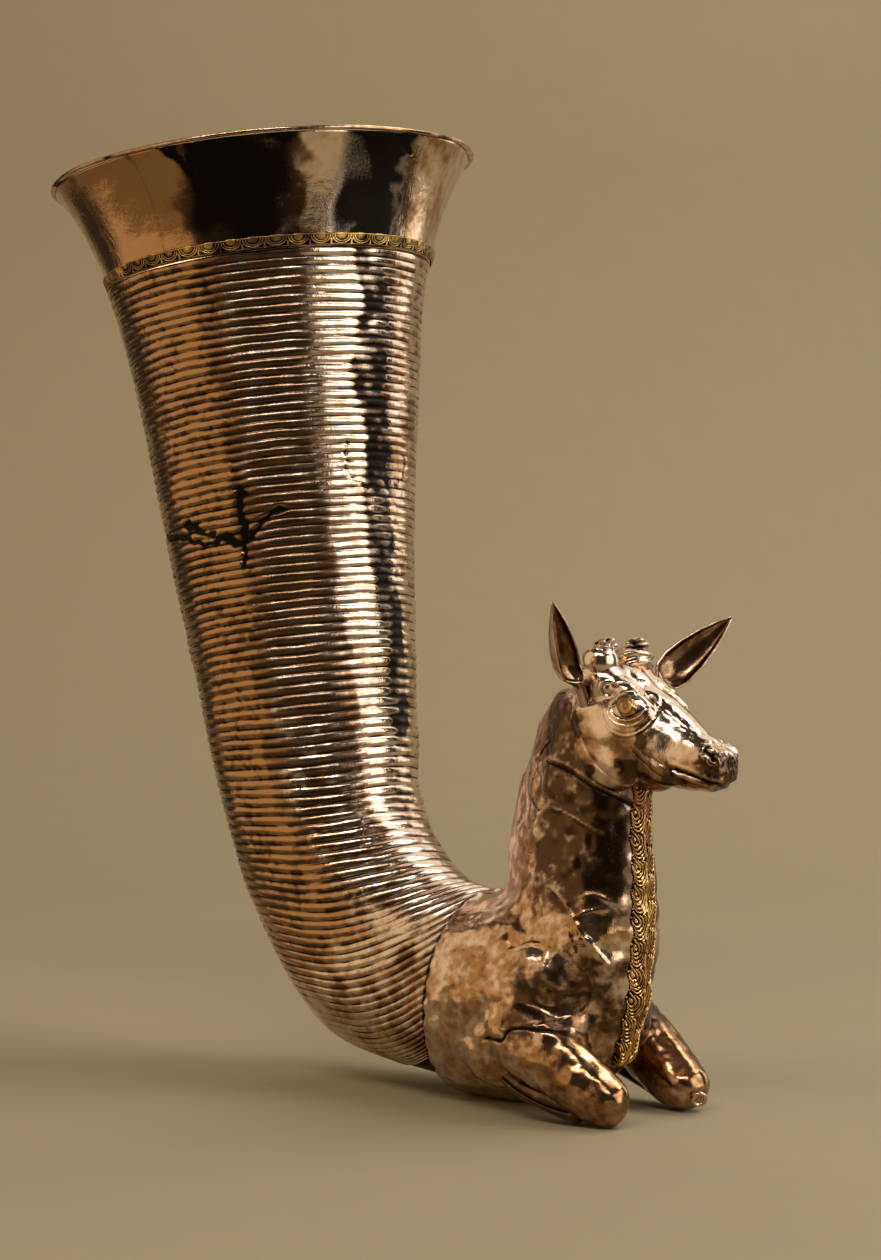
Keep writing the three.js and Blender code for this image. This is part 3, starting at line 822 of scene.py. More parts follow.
def scars(places, lines, horn, width):
    """How near each place on the unrolled horn is to a ragged crack, from 0 to 1."""
    flat = places.reshape(-1, 3)
    sunk = np.zeros(len(flat))
    wobble = np.stack([noise(flat, 2.2, 11), noise(flat, 2.2, 12)], axis=-1) * 0.8
    spread = width * (0.9 + 0.5 * noise(flat, 5, 13))
    for line in lines:
        near = horn.unroll(line)
        low, high = near.min(axis=0) - 6, near.max(axis=0) + 6
        close = np.all((flat[:, :2] > low) & (flat[:, :2] < high), axis=1)
        reach, _ = line_distance((flat[:, :2] + wobble)[close], near)
        sunk[close] = np.maximum(sunk[close], bell(reach, spread[close]))
    return sunk.reshape(places.shape[:-1])


def build_horn():
    """The ribbed sheet of the horn, from inside the chest's edge up to the mouth."""
    horn = Horn()
    rows, sides = 6, 320
    ribs = int((horn.ribs_end + horn.RIBS_BELOW) / horn.rib_pitch)
    phase = np.arange(ribs * rows + 1) / rows
    top = horn.ribs_end - horn.JOINT
    rib = (top - (ribs - phase) * horn.rib_pitch)[:, None]
    angle = ring_angles(sides)[None]
    flat = horn.places(rib, angle)
    shift = horn.noise(flat, 9, 1, (1, 0.25, 1)) * 0.35
    shift = shift + horn.noise(flat, 4, 2, (1, 0.5, 1)) * 0.15
    shift *= smooth(horn.ribs_end - rib, 0, 6)
    length = horn.rib_length(rib + shift, angle)
    places = horn.places(length, angle)
    up_rib = phase[:, None] % 1
    ridge = 1 - np.abs(2 * up_rib - 1) ** 2.4
    strength = 1 + horn.noise(flat, 7, 3, (1, 0.35, 1)) * 0.35
    cracks = scars(places, HORN_CRACKS, horn, 1.4)
    cracks = np.maximum(cracks, scars(places, FINE_CRACKS, horn, 0.5) * 0.7)
    # Painted reflection edges: dark ragged lines, also sunk a little into the sheet.
    reflection_edges = scars(places, PAINTED_REFLECTION_EDGES, horn, 2.2)
    reflection_edges = reflection_edges * smooth(horn.noise(places, 4, 17), -0.2, 0.5)
    grow = ridge * strength * horn.rib_height - horn.RIB_FOOT
    grow += horn.noise(places, 16, 4) * 0.3 + horn.noise(places, 6, 6) * 0.12
    for at, face, radius, depth in HORN_DENTS:
        centre = horn.unroll([[at, face]])[0]
        grow -= bell(np.linalg.norm(places[..., :2] - centre, axis=-1), radius) * depth
    grow = np.maximum(grow - cracks * 0.8 - reflection_edges * 0.15, -horn.DEEPEST)
    seam = horn.seam(angle)
    past = np.maximum(seam - length, 0)
    grow -= smooth(past, 0, 2) * 1.5
    outer = horn.surface(np.maximum(length, seam), angle, grow)
    outer[..., 0] += 3 * (1 - np.exp(-past / 8))
    outer[..., 2] = np.maximum(outer[..., 2], 0)
    down = np.linspace(0, 1, 90)[:, None]
    inner = horn.surface(top + (seam - horn.ribs_end) * down, angle, -horn.INSIDE)
    points, faces = skin(np.concatenate([outer, inner]), joined=True)
    groove = 1 - smooth(ridge, 0.15, 0.85)
    under = bell(length - seam, 1.2)
    layers = horn_tarnish_and_painted_reflections(horn, angle, places)
    flecks = smooth(horn.noise(places, 1.3, 15) + 0.6 * horn.noise(places, 4, 16), 0.0, 0.9)
    flecks = flecks * layers["warm"].clip(0, 1)
    grime = groove * (0.8 + 0.5 * horn.noise(places, 5, 7)) + flecks * 0.2
    layers["grime"] = grime + cracks * 1.2 + reflection_edges * 0.45 + under * 0.8 + layers["grime"]
    # Painted shade: the lower half of each rib is darker, as if lit from above.
    layers["dark"] = layers["dark"] + 0.35 * (1 - smooth(up_rib, 0.3, 0.6)) + flecks * 0.55
    # Wear along each rib, and a painted highlight on its upper side.
    crest_wear_and_highlight = bell(up_rib - 0.62, 0.2) * (0.75 + 0.5 * horn.noise(places, 4, 14))
    layers["worn"] = np.maximum(crest_wear_and_highlight, layers["worn"] * 0.8)
    inside = np.full(inner.shape[:2], 0.25)
    filled = {k: np.concatenate([v, inside * (k != "gilt")]) for k, v in layers.items()}
    return add_piece(
        "ribbed_horn", points, faces, silver_finish(), ["horn_vessel"], filled
    )


def build_mouth():
    """The plain flaring mouth and the uneven lip round it."""
    horn = Horn()
    rows, sides = 64, 320
    length = np.linspace(horn.ribs_end + horn.JOINT, horn.length - 0.3, rows)[:, None]
    angle = ring_angles(sides)[None]
    places = horn.places(length, angle)
    cracks = scars(places, MOUTH_CRACKS, horn, 0.7)
    free = smooth(length, horn.ribs_end + 1, horn.ribs_end + 12)
    waves = horn.noise(places, 22, 21, (0.6, 1, 1)) * 0.45 + horn.noise(places, 8, 22) * 0.14
    grow = (waves - 0.35) * free - cracks * 0.7
    edge = smooth(length, horn.length - 12, horn.length) * 0.5
    grow = grow - np.abs(edge * horn.noise(places, 14, 23, (0, 1, 0)))
    outer = horn.surface(length, angle, grow)
    inner = horn.surface(length, angle, grow - horn.wall)[::-1]
    points, faces = skin(np.concatenate([outer, inner]), joined=True)
    rim = smooth(length, horn.length - 5, horn.length - 1) * 0.3
    grime = cracks + rim * (0.5 + horn.noise(places, 4, 24))
    layers = horn_tarnish_and_painted_reflections(horn, angle, places)
    face = np.degrees(places[..., 1] / horn.radius(length)) + horn.noise(places, 9, 25) * 2
    # Painted dark reflections: two dark bands round the mouth's front, and thin dark lines on its
    # left.
    painted_reflection_bands = smooth(face, -27, -16) * smooth(-face, -18, -7)
    painted_reflection_bands = painted_reflection_bands + smooth(face, 20, 29) * smooth(-face, -52, -41)
    painted_reflection_lines = bell(face + 62, 2.5) + bell(face + 33, 1.5)
    painted_reflection_bands = painted_reflection_bands * (1 + 0.4 * horn.noise(places, 12, 26))
    layers["grime"] = grime + layers["grime"] + 0.8 * painted_reflection_bands + 0.5 * painted_reflection_lines
    # Painted light: the mouth's far left is lighter.
    for name in ("warm", "dark"):
        layers[name] = layers[name] - 0.35 * smooth(-face, 34, 40)
    both = {k: np.concatenate([v, v[::-1]]) for k, v in layers.items()}
    finish = silver_finish()
    add_piece("plain_mouth", points, faces, finish, ["mouth_collar"], both)
    build_lip(horn, angle, finish)


def build_lip(horn, angle, finish):
    """The lip: a flattened wire with nicks in it."""
    steps = 14
    turns = ring_angles(steps)[:, None]
    half = (horn.wall + 2 * horn.lip_overhang) / 2
    lift = np.sign(np.sin(turns)) * np.abs(np.sin(turns)) ** 0.6 * horn.lip_height / 2
    out = np.sign(np.cos(turns)) * np.abs(np.cos(turns)) ** 0.7 * half
    round_it = horn.places(0 * angle + horn.length, angle)
    nick = np.maximum(noise(round_it, 6, 31) - 0.35, 0) * 0.5
    rise = horn.lip_height / 2 + lift * (1 - nick) + noise(round_it, 18, 32) * 0.18 - 0.18
    edge = horn.surface(horn.length, angle, out - horn.wall / 2 - nick * 0.4)
    heading = float(horn.heading(horn.length))
    raised = np.array([math.cos(heading), 0, math.sin(heading)])
    rings = (edge + raised * rise[..., None]).transpose(1, 0, 2)
    points, faces = skin(rings, joined=True)
    layers = tarnish((0.25 + nick * 2 + 0 * rise).T, warm=0.4, dark=0.2)
    add_piece("lip", points, faces, finish, ["rim_lip"], layers)


def build_band():
    """The gilt band: a row of eggs with double outlines, and darts between them."""
    horn = Horn()
    per_egg, rows = 22, 34
    angle = ring_angles(horn.eggs * per_egg)[None]
    low = horn.ribs_end + 2 * horn.JOINT
    up = np.linspace(0, 1, rows)[:, None]
    length = low + up * horn.band_height
    spot = np.stack([length + 0 * angle, angle * 60 + 0 * length, 0 * length + 0 * angle], axis=-1)
    across = (angle / (2 * math.pi) * horn.eggs) % 1 - 0.5 + noise(spot, 5, 41) * 0.02
    drop = np.maximum(0.74 - up, 0) / 0.62
    egg = np.hypot(across / 0.44, drop)
    lines = bell(egg - 1, 0.07) + bell(egg - 0.74, 0.07) * 0.9
    swell = 0.7 * np.sqrt(np.clip(1 - (egg / 0.62) ** 2, 0, 1))
    dart = bell(np.abs(across) - 0.5, 0.05) * smooth(0.62 - up, 0, 0.2) * (egg > 1.1)
    top = bell(up - 0.88, 0.05) + bell(up - 0.03, 0.04) * 0.6 + 0 * across
    relief = np.maximum(np.maximum(lines * (up < 0.8), swell), np.maximum(dart * 0.8, top))
    relief = np.clip(relief, 0, 1)
    relief = relief * (0.85 + 0.3 * noise(spot, 4, 42))
    edge = smooth(up, 0, 0.04) * smooth(1 - up, 0, 0.04)
    base = 0.42 * edge
    grow = 0.3 + base + relief * 0.42 + noise(spot, 12, 43) * 0.08
    outer = horn.surface(length, angle, np.minimum(grow, 0.3 + horn.band_relief + 0.2))
    inner = horn.surface(length[[-1, 0]], angle, 0.3)
    points, faces = skin(np.concatenate([outer, inner]), joined=True)
    grime = (1 - relief) * 0.95 + 0.15 * noise(spot, 6, 44)
    grime = np.concatenate([grime, np.ones_like(inner[..., 0])])
    return add_piece(
        "ovolo_band", points, faces, gilt_finish(), ["gilt_band"], {"grime": grime}
    )


# The animal

SIDES = (("left", 1), ("right", -1))
MODEL_START_X = 30.8  # where the horn's line starts in the millimetres of the animal
CHEST = [
    [48, 0, 33.6, 34.8, 30.4],
    [62, 0, 35, 34.4, 31],
    [77, 0, 38.8, 33, 28.5],
    [90, 0, 42, 29, 22],
    [101, 0, 44, 17.5, 12.5],
    [105, 0, 44.4, 11.5, 6],
]
NECK = [
    [82, 0, 40, 24.5, 19],
    [81, 0, 56, 28, 21],
    [80.5, 0, 76, 28.4, 17],
    [81.2, 0, 92, 27.2, 15.4],
    [84, 0, 106, 24.4, 14.6],
    [85.6, 0, 118, 21.4, 14],
    [88, 0, 129, 17, 12.5],
]
NAPE_TAPER = -0.28  # how much narrower the neck is behind
NAPE = [[73.1, 0, 132.9], [62.2, 0, 112.9], [54.3, 0, 92.7], [51.2, 0, 79.3], [49, 0, 70.9]]
FORELEG = [
    [66, 22, 26, 12, 8],
    [80, 24.5, 25, 12.5, 9.6],
    [94, 23, 17, 10.8, 9.2],
    [105, 20.6, 10.2, 9.6, 8.8],
    [110, 20, 7.9, 8.2, 7.8],
]
SHIN = [
    [101, 23.5, 5.4, 5.0, 4.6],
    [90, 25.6, 7.6, 4.0, 4.2],
    [80, 26, 10, 3.2, 3.6],
    [71, 24.6, 13, 2.6, 2.8],
    [64, 22, 16, 2.2, 2.2],
]
# Swellings of the breast, shoulder and leg: the middle, the radii and the heading in degrees
MUSCLES = [
    ([80, 17.5, 43], [15, 10.2, 15], 0),
    ([94, 6.5, 50], [10, 9, 14], -10),
    ([86, 18, 29], [14, 9, 9], -35),
    ([66, 22, 21], [15, 9, 13], -15),
    ([59, 0, 60], [15, 13, 11], 10),
    ([108, 20, 9], [9, 8.2, 8.2], -20),
    ([103, 20.5, 14.5], [12, 4.2, 6], -45),
]
FOREARM = [[95.6, 22, 26], [106.3, 20.5, 17.8], [113.5, 19.5, 11.5]]  # the ridge of the bone
SHIN_LINES = [
    ([[102, 4.4], [92, 6], [82, 9], [68, 14]], 0.5, -0.5, 1.0),
    ([[104, 7], [99, 8.6], [90, 10.4], [80, 12.6]], 0.5, -0.4, 1.0),
]
HEAD = [
    [77.5, 0, 131.5, 5.5, 6],
    [86, 0, 129, 12, 11.5],
    [98, 0, 125.5, 16.6, 15.2],
    [112, 0, 121, 13.8, 13.4],
    [125, 0, 116.2, 10.6, 9.4],
    [136, 0, 113.4, 8, 7.4],
    [140.6, 0, 113.4, 5.6, 6.2],
]


def moved(horn, rows):
    """Stations in the model's own millimetres, moved to the frame."""
    rows = np.array(rows, float)
    rows[:, 0] += horn.start_x - MODEL_START_X
    return rows


def mirrored(rows, side):
    """Stations on one side of the animal: 1 for its left, -1 for its right."""
    rows = np.array(rows, float)
    rows[:, 1] *= side
    return rows


def swellings(horn, rows, sides=(1, -1)):
    """An ellipsoid for each row, on each of these sides of the animal."""
    return [
        blob(moved(horn, mirrored([place], side))[0], radii, heading)
        for side in sides
        for place, radii, heading in rows
    ]


def chase(clay, horn, lines):
    """Works lines into the sides: raised or sunk, on both sides alike. Returns the dirt."""
    dirt = np.zeros(len(clay.points))
    normal = clay.normals()
    facing = smooth(np.abs(normal[:, 1]), 0.12, 0.4)
    shift = np.array([horn.start_x - MODEL_START_X, 0])
    plane = clay.points[:, [0, 2]]
    rise = np.zeros(len(plane))
    for line, width, height, dark in lines:
        reach, place = line_distance(plane, spline(np.array(line, float), 6) + shift)
        taper = smooth(place, -0.02, 0.1) * smooth(1 - place, -0.02, 0.1)
        rise += bell(reach, width) * height * (0.4 + 0.6 * taper) * facing
        dirt = np.maximum(dirt, bell(reach, width * 1.3) * dark * facing * (0.3 + 0.7 * taper))
    clay.push(rise)
    return dirt


def arc(cx, cz, rx, rz, start, end, count=9):
    """Points of an elliptical arc in the side view, with angles turned up from forward."""
    turns = np.radians(np.linspace(start, end, count))
    return np.column_stack([cx + rx * np.cos(turns), cz + rz * np.sin(turns)]).tolist()


SHOULDER = [
    [67.5, 42], [69.7, 50.2], [77.4, 54.7], [87, 55.4], [95, 52], [99.8, 45], [97.5, 35.3],
    [88, 30.3], [77, 29], [70, 33.5], [67.5, 42],
]
# Chased lines: the points in the side view, the width, the height and how dark the line is
BODY_LINES = [
    (SHOULDER, 0.5, 0.5, 0.0),
    (SHOULDER, 1.0, -0.3, 0.15),
    ([[66.5, 24.2], [70, 25.2], [77.4, 25.4], [80, 28.6], [85.9, 30.1], [96, 29.5]],
     0.5, -0.6, 1.0),
    ([[84.5, 74], [89, 71], [91.5, 68.8], [96, 63], [99.4, 58.5], [102, 54], [104.3, 48.1]],
     0.6, 0.5, 0.0),
    ([[86, 71], [91, 66], [96, 58], [98.5, 50]], 0.5, -0.4, 0.4),
    ([[80, 71], [84, 64], [87, 57], [88, 48]], 0.6, 0.4, 0.1),
    ([[79, 79], [81, 76.5], [84, 76], [86, 78], [84.5, 80.5], [82, 79.5]], 0.35, 0.3, 0.3),
    ([[82, 74], [86, 73.8], [90, 75.5]], 0.35, 0.3, 0.3),
    ([[92, 62], [97, 66], [103, 67.5]], 0.7, 0.35, 0.1),
    ([[95, 71], [100, 72], [104, 70]], 0.7, 0.4, 0.1),
    ([[93, 56], [98, 58], [103, 57]], 0.7, 0.4, 0.1),
    ([[88, 44], [93, 41], [99, 41.5]], 0.7, -0.3, 0.2),
    ([[72.3, 115.2], [76, 118], [79.6, 120.4]], 0.45, -0.5, 1.0),
    ([[76.1, 113.8], [84, 112], [91.4, 109.7], [98, 106], [104.6, 102.4], [109.8, 97.7]],
     0.5, -0.35, 0.9),
    ([[77, 115], [85, 113.6], [92, 111.3], [99, 107.6], [105, 103.8]], 0.6, 0.4, 0.0),
    ([[82, 99], [90, 97], [97, 93.5], [101, 92]], 0.6, 0.4, 0.2),
    ([[66, 113], [68, 104], [72.5, 99], [77, 97]], 0.45, -0.3, 0.8),
]


def build_forepart():
    """Chest, neck and forelegs as one raised skin with its muscles and chased lines."""
    horn = Horn()
    sizes = bpy.context.scene.rhyton_animal
    sides = 64
    angle = ring_angles(sides)
    # The chest's stations run forward, so its angle 0 is above, where the horn's is below.
    horn_angle = math.pi - angle
    edge = horn.surface(horn.seam(horn_angle), horn_angle, 1.1)
    behind = MODEL_START_X + horn.seam_reach
    first = [behind, 0, 34.2, 35.4, 29.8]
    forms = [loft(moved(horn, [first] + CHEST), sides, 6, end=3, first=edge)]
    forms.append(loft(moved(horn, NECK), 40, 6, end=7, square=1.9, taper=NAPE_TAPER))
    for side in (1, -1):
        forms.append(loft(moved(horn, mirrored(FORELEG, side)), 32, 6, start=9, end=7.5))
        forms += swellings(horn, MUSCLES, (side,))
    clay = Clay(forms, sizes.body_grain / MM)
    clay.relax(6)
    clay.fillet(90)
    clay.relax(8)
    seam_gap = np.linalg.norm(clay.points[:, None] - edge[None, ::2], axis=2).min(axis=1)
    dirt = chase(clay, horn, BODY_LINES)
    spot = clay.points
    hammer = sizes.hammering / MM
    waves = noise(spot, 9, 51) + noise(spot, 5, 52) * 0.9 + noise(spot, 2.8, 55) * 0.42
    clay.push(waves * hammer * smooth(seam_gap, 0.5, 5))
    nape = moved(horn, NAPE)
    reach, _ = line_distance(spot[:, [0, 2]], spline(nape[:, [0, 2]], 6))
    ridge = bell(spot[:, 1] + noise(spot, 8, 56) * 0.6, 1.9) * smooth(7 - reach, 0, 3)
    clay.push(ridge * 0.9)
    crack = bell(np.abs(spot[:, 1]) - 4 - noise(spot, 5, 53), 0.7) * smooth(9 - reach, 0, 3)
    clay.push(-crack * 0.5)
    leg = smooth(spot[:, 0], horn.start_x + 60, horn.start_x + 66) * smooth(-spot[:, 2], -40, -30)
    forearm = moved(horn, FOREARM)
    for side in (1, -1):
        bone = mirrored(forearm, side)
        reach, _ = line_distance(spot, spline(bone, 5))
        clay.push(bell(reach, 2.4) * 1.1)
    lip = bell(seam_gap - 1.2, 0.8)
    clay.push(lip * 0.35)
    clay.points[:, 2] = np.maximum(clay.points[:, 2], 0.0)
    hollow = clay.hollowness(6)
    grime = dirt + smooth(hollow, 0.1, 0.5) * 0.8 + crack * 0.9 + bell(seam_gap, 0.8) * 0.9
    patches = noise(spot, 7, 57) + 0.6 * noise(spot, 3.2, 58)
    warm = 0.34 + 0.16 * patches + 0.3 * noise(spot, 1.7, 50) + leg * 0.2
    front = smooth(spot[:, 0] + 3 * noise(spot, 6, 59), horn.start_x + 43, horn.start_x + 50)
    dark = 0.12 + 0.15 * patches + 0.25 * noise(spot, 1.8, 54) + 0.2 * leg
    # Painted dark reflection over the breast and the front of the neck, with tarnish patches.
    dark += front * smooth(spot[:, 2], 24, 32) * (0.55 + 0.35 * patches)
    # Painted dark: the upper neck darker.
    dark += smooth(spot[:, 2], 70, 80) * 0.25
    # Painted highlight: a lighter band across the front.
    dark -= front * bell(spot[:, 2] - 57 - 4 * noise(spot, 9, 60), 8) * 0.8
    ahead = spot[:, 0] - horn.start_x
    under = smooth(-spot[:, 2], -32, -20) * smooth(-ahead, -40, -30)
    # Painted light: the belly and the upper chest lighter, standing in for a reflection of the
    # floor and a highlight.
    painted_light_patches = np.maximum(under, bell(ahead - 24, 16) * smooth(spot[:, 2], 48, 60))
    warm, dark = warm * (1 - 0.7 * painted_light_patches), dark * (1 - painted_light_patches)
    worn = smooth(-hollow, 0.05, 0.35)
    layers = tarnish(grime, warm, dark, worn)
    finish = silver_finish("body_silver")
    nodes = ["chest_shell", "neck", "foreleg_left", "foreleg_right"]
    return add_piece("forepart", clay.points, clay.faces, finish, nodes, layers)


EYE_X, EYE_Z = 111.6, 132
HEAD_LINES = [
    (arc(EYE_X, EYE_Z, 6.4, 4.6, 196, 344), 0.3, 0.25, 0.0),
    (arc(EYE_X, EYE_Z, 5.8, 3.9, 196, 344), 0.3, -0.2, 0.7),
    (arc(EYE_X, EYE_Z + 0.2, 7.6, 6.6, 192, 348), 0.28, 0.2, 0.0),
    (arc(EYE_X, EYE_Z + 0.2, 7.2, 6.0, 194, 346), 0.25, -0.15, 0.5),
    (arc(EYE_X, EYE_Z + 0.2, 9.0, 9.6, 188, 350), 0.28, 0.2, 0.0),
    (arc(EYE_X, EYE_Z + 0.2, 8.6, 9.0, 190, 348), 0.25, -0.15, 0.5),
    ([[105.2, 132.4], [108, 135.2], [112, 136.4], [116, 135.2], [118.6, 132.4]], 0.5, 0.45, 0.0),
    ([[105.8, 131.8], [108.4, 134], [112, 135.2], [115.6, 134.2], [118, 131.8]], 0.3, -0.25, 0.8),
    (arc(103.8, 137.2, 1.7, 1.7, 60, 330), 0.3, -0.22, 0.7),
    (arc(103.8, 137.2, 2.4, 2.4, 80, 320), 0.3, 0.2, 0.0),
    ([[105.6, 138.6], [110, 139.6], [115, 138], [119, 134.6]], 0.3, -0.2, 0.6),
    ([[127, 112.6], [133.3, 110.6], [138.7, 108.6], [145, 106.6]], 0.6, -0.9, 1.0),
    ([[126, 114.2], [133, 112.2], [139, 110.3], [144, 109]], 0.7, 0.4, 0.0),
    ([[128, 110.6], [134, 108.6], [140, 106.5]], 0.6, 0.3, 0.0),
    ([[113.5, 118.6], [117, 114.8], [121, 111.5], [124.5, 109.6]], 0.3, -0.22, 0.9),
    ([[115, 119], [118.6, 115.4], [122.4, 112.6]], 0.3, 0.2, 0.0),
    ([[117, 118.6], [120.6, 115.6], [124.4, 113.3]], 0.3, -0.2, 0.7),
    ([[136.6, 119.6], [139.4, 117.6], [141.6, 115.4]], 0.6, -0.9, 1.0),
    ([[136.2, 121.4], [140, 119.4], [142.6, 116.6]], 0.6, 0.5, 0.0),
    ([[135.6, 118], [138.2, 116], [140.4, 113.8]], 0.6, 0.4, 0.0),
    ([[88, 138], [90, 130], [95, 121], [101, 113.5], [108, 108]], 0.6, -0.25, 0.5),
]
# Swellings on both sides of the head, and then in its middle, written as the muscles are
PAIRED_FEATURES = [
    ([111.5, 8.6, 130.6], [8.4, 4.2, 5.6], -26),
    ([106, 7.6, 137], [9, 4.4, 4], -24),
    ([99.5, 8.6, 115.5], [14, 6.8, 9.6], -32),
    ([118, 6.6, 114], [12, 4.2, 5.6], -26),
    ([138, 4.2, 116.4], [5, 3.2, 3.6], -35),
    ([97, 6.6, 139], [10, 8, 7.4], -14),
    ([94, 11, 129.5], [5, 4.4, 4.6], 0),
]
MIDDLE_FEATURES = [
    ([137, 0, 114.4], [5.8, 6.2, 5.6], -20),
    ([131.5, 0, 108.6], [7.2, 4.6, 2.8], -16),
    ([119, 0, 129], [20, 6, 4.6], -33),
    ([102, 0, 139.5], [10, 6, 5], -20),
    ([110, 0, 112], [11, 8.5, 6.6], -24),
]


def hair_lines():
    """Fine strokes that run down the forehead and the bridge of the nose."""
    lines = []
    for row in range(9):
        for column in range(3):
            x = 110.5 + row * 3.1 + column * 0.9
            z = 139.2 - row * 2.15 - column * 1.7
            lines.append(([[x, z], [x + 1.7, z - 0.8], [x + 3.2, z - 2.2]], 0.28, 0.12, 0.25))
    return lines


def build_head():
    """The head: skull, brows, cheeks, muzzle and lips, with the chased lines round the eyes."""
    horn = Horn()
    sizes = bpy.context.scene.rhyton_animal
    forms = [loft(moved(horn, HEAD), 48, 8, end=2.6, square=2.2, taper=-0.05)]
    forms += swellings(horn, PAIRED_FEATURES) + swellings(horn, MIDDLE_FEATURES, (1,))
    clay = Clay(forms, sizes.head_grain / MM)
    clay.relax(5)
    clay.fillet(40)
    clay.relax(5)
    dirt = chase(clay, horn, HEAD_LINES + hair_lines())
    spot = clay.points
    clay.push(noise(spot, 6, 61) * 0.22 + noise(spot, 2.6, 62) * 0.1)
    tip = smooth(spot[:, 0], horn.start_x + 103, horn.start_x + 108)
    stipple = np.maximum(noise(spot, 1.1, 63), 0) * tip
    clay.push(-stipple * 0.3)
    clay.points[:, 0] = np.minimum(clay.points[:, 0], CAD_BOX[1].x / MM)
    hollow = clay.hollowness(8)
    blots = smooth(noise(spot, 6.5, 66) + 0.5 * noise(spot, 2.6, 67), 0.1, 0.4)
    normal = clay.normals()
    top = smooth(normal[:, 2], 0.1, 0.7)
    fur = np.maximum(noise(spot * (0.35, 1, 0.35), 0.9, 68), 0) * top
    grime = dirt + smooth(hollow, 0.2, 0.6) * 0.7 + stipple * 0.9 + fur * 0.3
    # Painted shade: sides that face sideways and down are darker and warmer, in patches.
    cheek = smooth(0.25 - normal[:, 2], -0.2, 0.3) * smooth(noise(spot, 8, 65), -0.5, 0.4)
    streak = smooth(noise(spot * (0.4, 1, 0.4), 1.6, 64), 0.1, 0.5) * top
    layers = tarnish(
        grime,
        warm=0.25 + 0.5 * cheek,
        # Darker on the painted-shade sides and the muzzle, lighter on top as a painted highlight.
        dark=0.35 * cheek + 0.7 * tip + 0.9 * blots * np.maximum(cheek, 0.1) - 0.3 * top,
        # Wear on what stands out, and a painted highlight on what faces up.
        worn=np.clip(smooth(-hollow, 0.05, 0.3) + top * 0.6, 0, 1),
        gilt=streak * 0.5,
    )
    finish = silver_finish("head_silver", 0.1)
    return add_piece("ibex_head", clay.points, clay.faces, finish, ["head"], layers)


def build_shins():
    """The folded shins, each with its hoof behind and a raised line round it."""
    horn = Horn()
    finish = silver_finish("shin_silver", gloom=0.1)
    for name, side in SIDES:
        forms = [loft(moved(horn, mirrored(SHIN, side)), 32, 8, start=3, end=2, square=2.4)]
        clay = Clay(forms, 0.5)
        clay.relax(3)
        dirt = chase(clay, horn, SHIN_LINES)
        clay.push(noise(clay.points, 4, 71) * 0.15)
        clay.points[:, 2] = np.maximum(clay.points[:, 2], 0.0)
        hollow = clay.hollowness(5)
        grime = dirt + smooth(hollow, 0.1, 0.4)
        layers = tarnish(grime, warm=0.5, dark=0.5, worn=smooth(-hollow, 0.1, 0.4))
        piece, nodes = "folded_shin_" + name, ["shin_" + name]
        add_piece(piece, clay.points, clay.faces, finish, nodes, layers)


RUFF = [
    [107.4, 108, 4.4],
    [108, 88, 5.4],
    [108.2, 70, 6],
    [109.4, 50, 6],
    [108.8, 34, 5.8],
    [103.5, 22, 5],
    [98, 15.5, 3],
]
RUFF_SPREAD = 1.04  # how much wider the ruff is than its rows say
TUFT_LENGTH = 8.6
HAIR_PITCH = 1.25


def lying_on(points):
    """How far the forepart's front lies before each point, for a strip that rests on it."""
    skin_points = np.array([v.co for v in bpy.data.objects["forepart"].data.vertices]) / MM
    nose = points[..., 0].min() - 8
    front = skin_points[(skin_points[:, 0] > nose) & (np.abs(skin_points[:, 1]) < 11)]
    gaps = np.zeros(points.shape[:-1])
    for row, places in enumerate(points):
        near = front[np.abs(front[:, 2] - places[0, 2]) < 2]
        apart = np.hypot(places[:, None, 1] - near[:, 1], places[:, None, 2] - near[:, 2])
        weight = bell(apart, 0.8) * np.exp(near[:, 0] - near[:, 0].max()) + 1e-12
        gaps[row] = (weight * near[:, 0]).sum(axis=1) / weight.sum(axis=1) - places[:, 0]
    return np.clip(gaps, -6, 6) * smooth(points[..., 2], 17, 26)


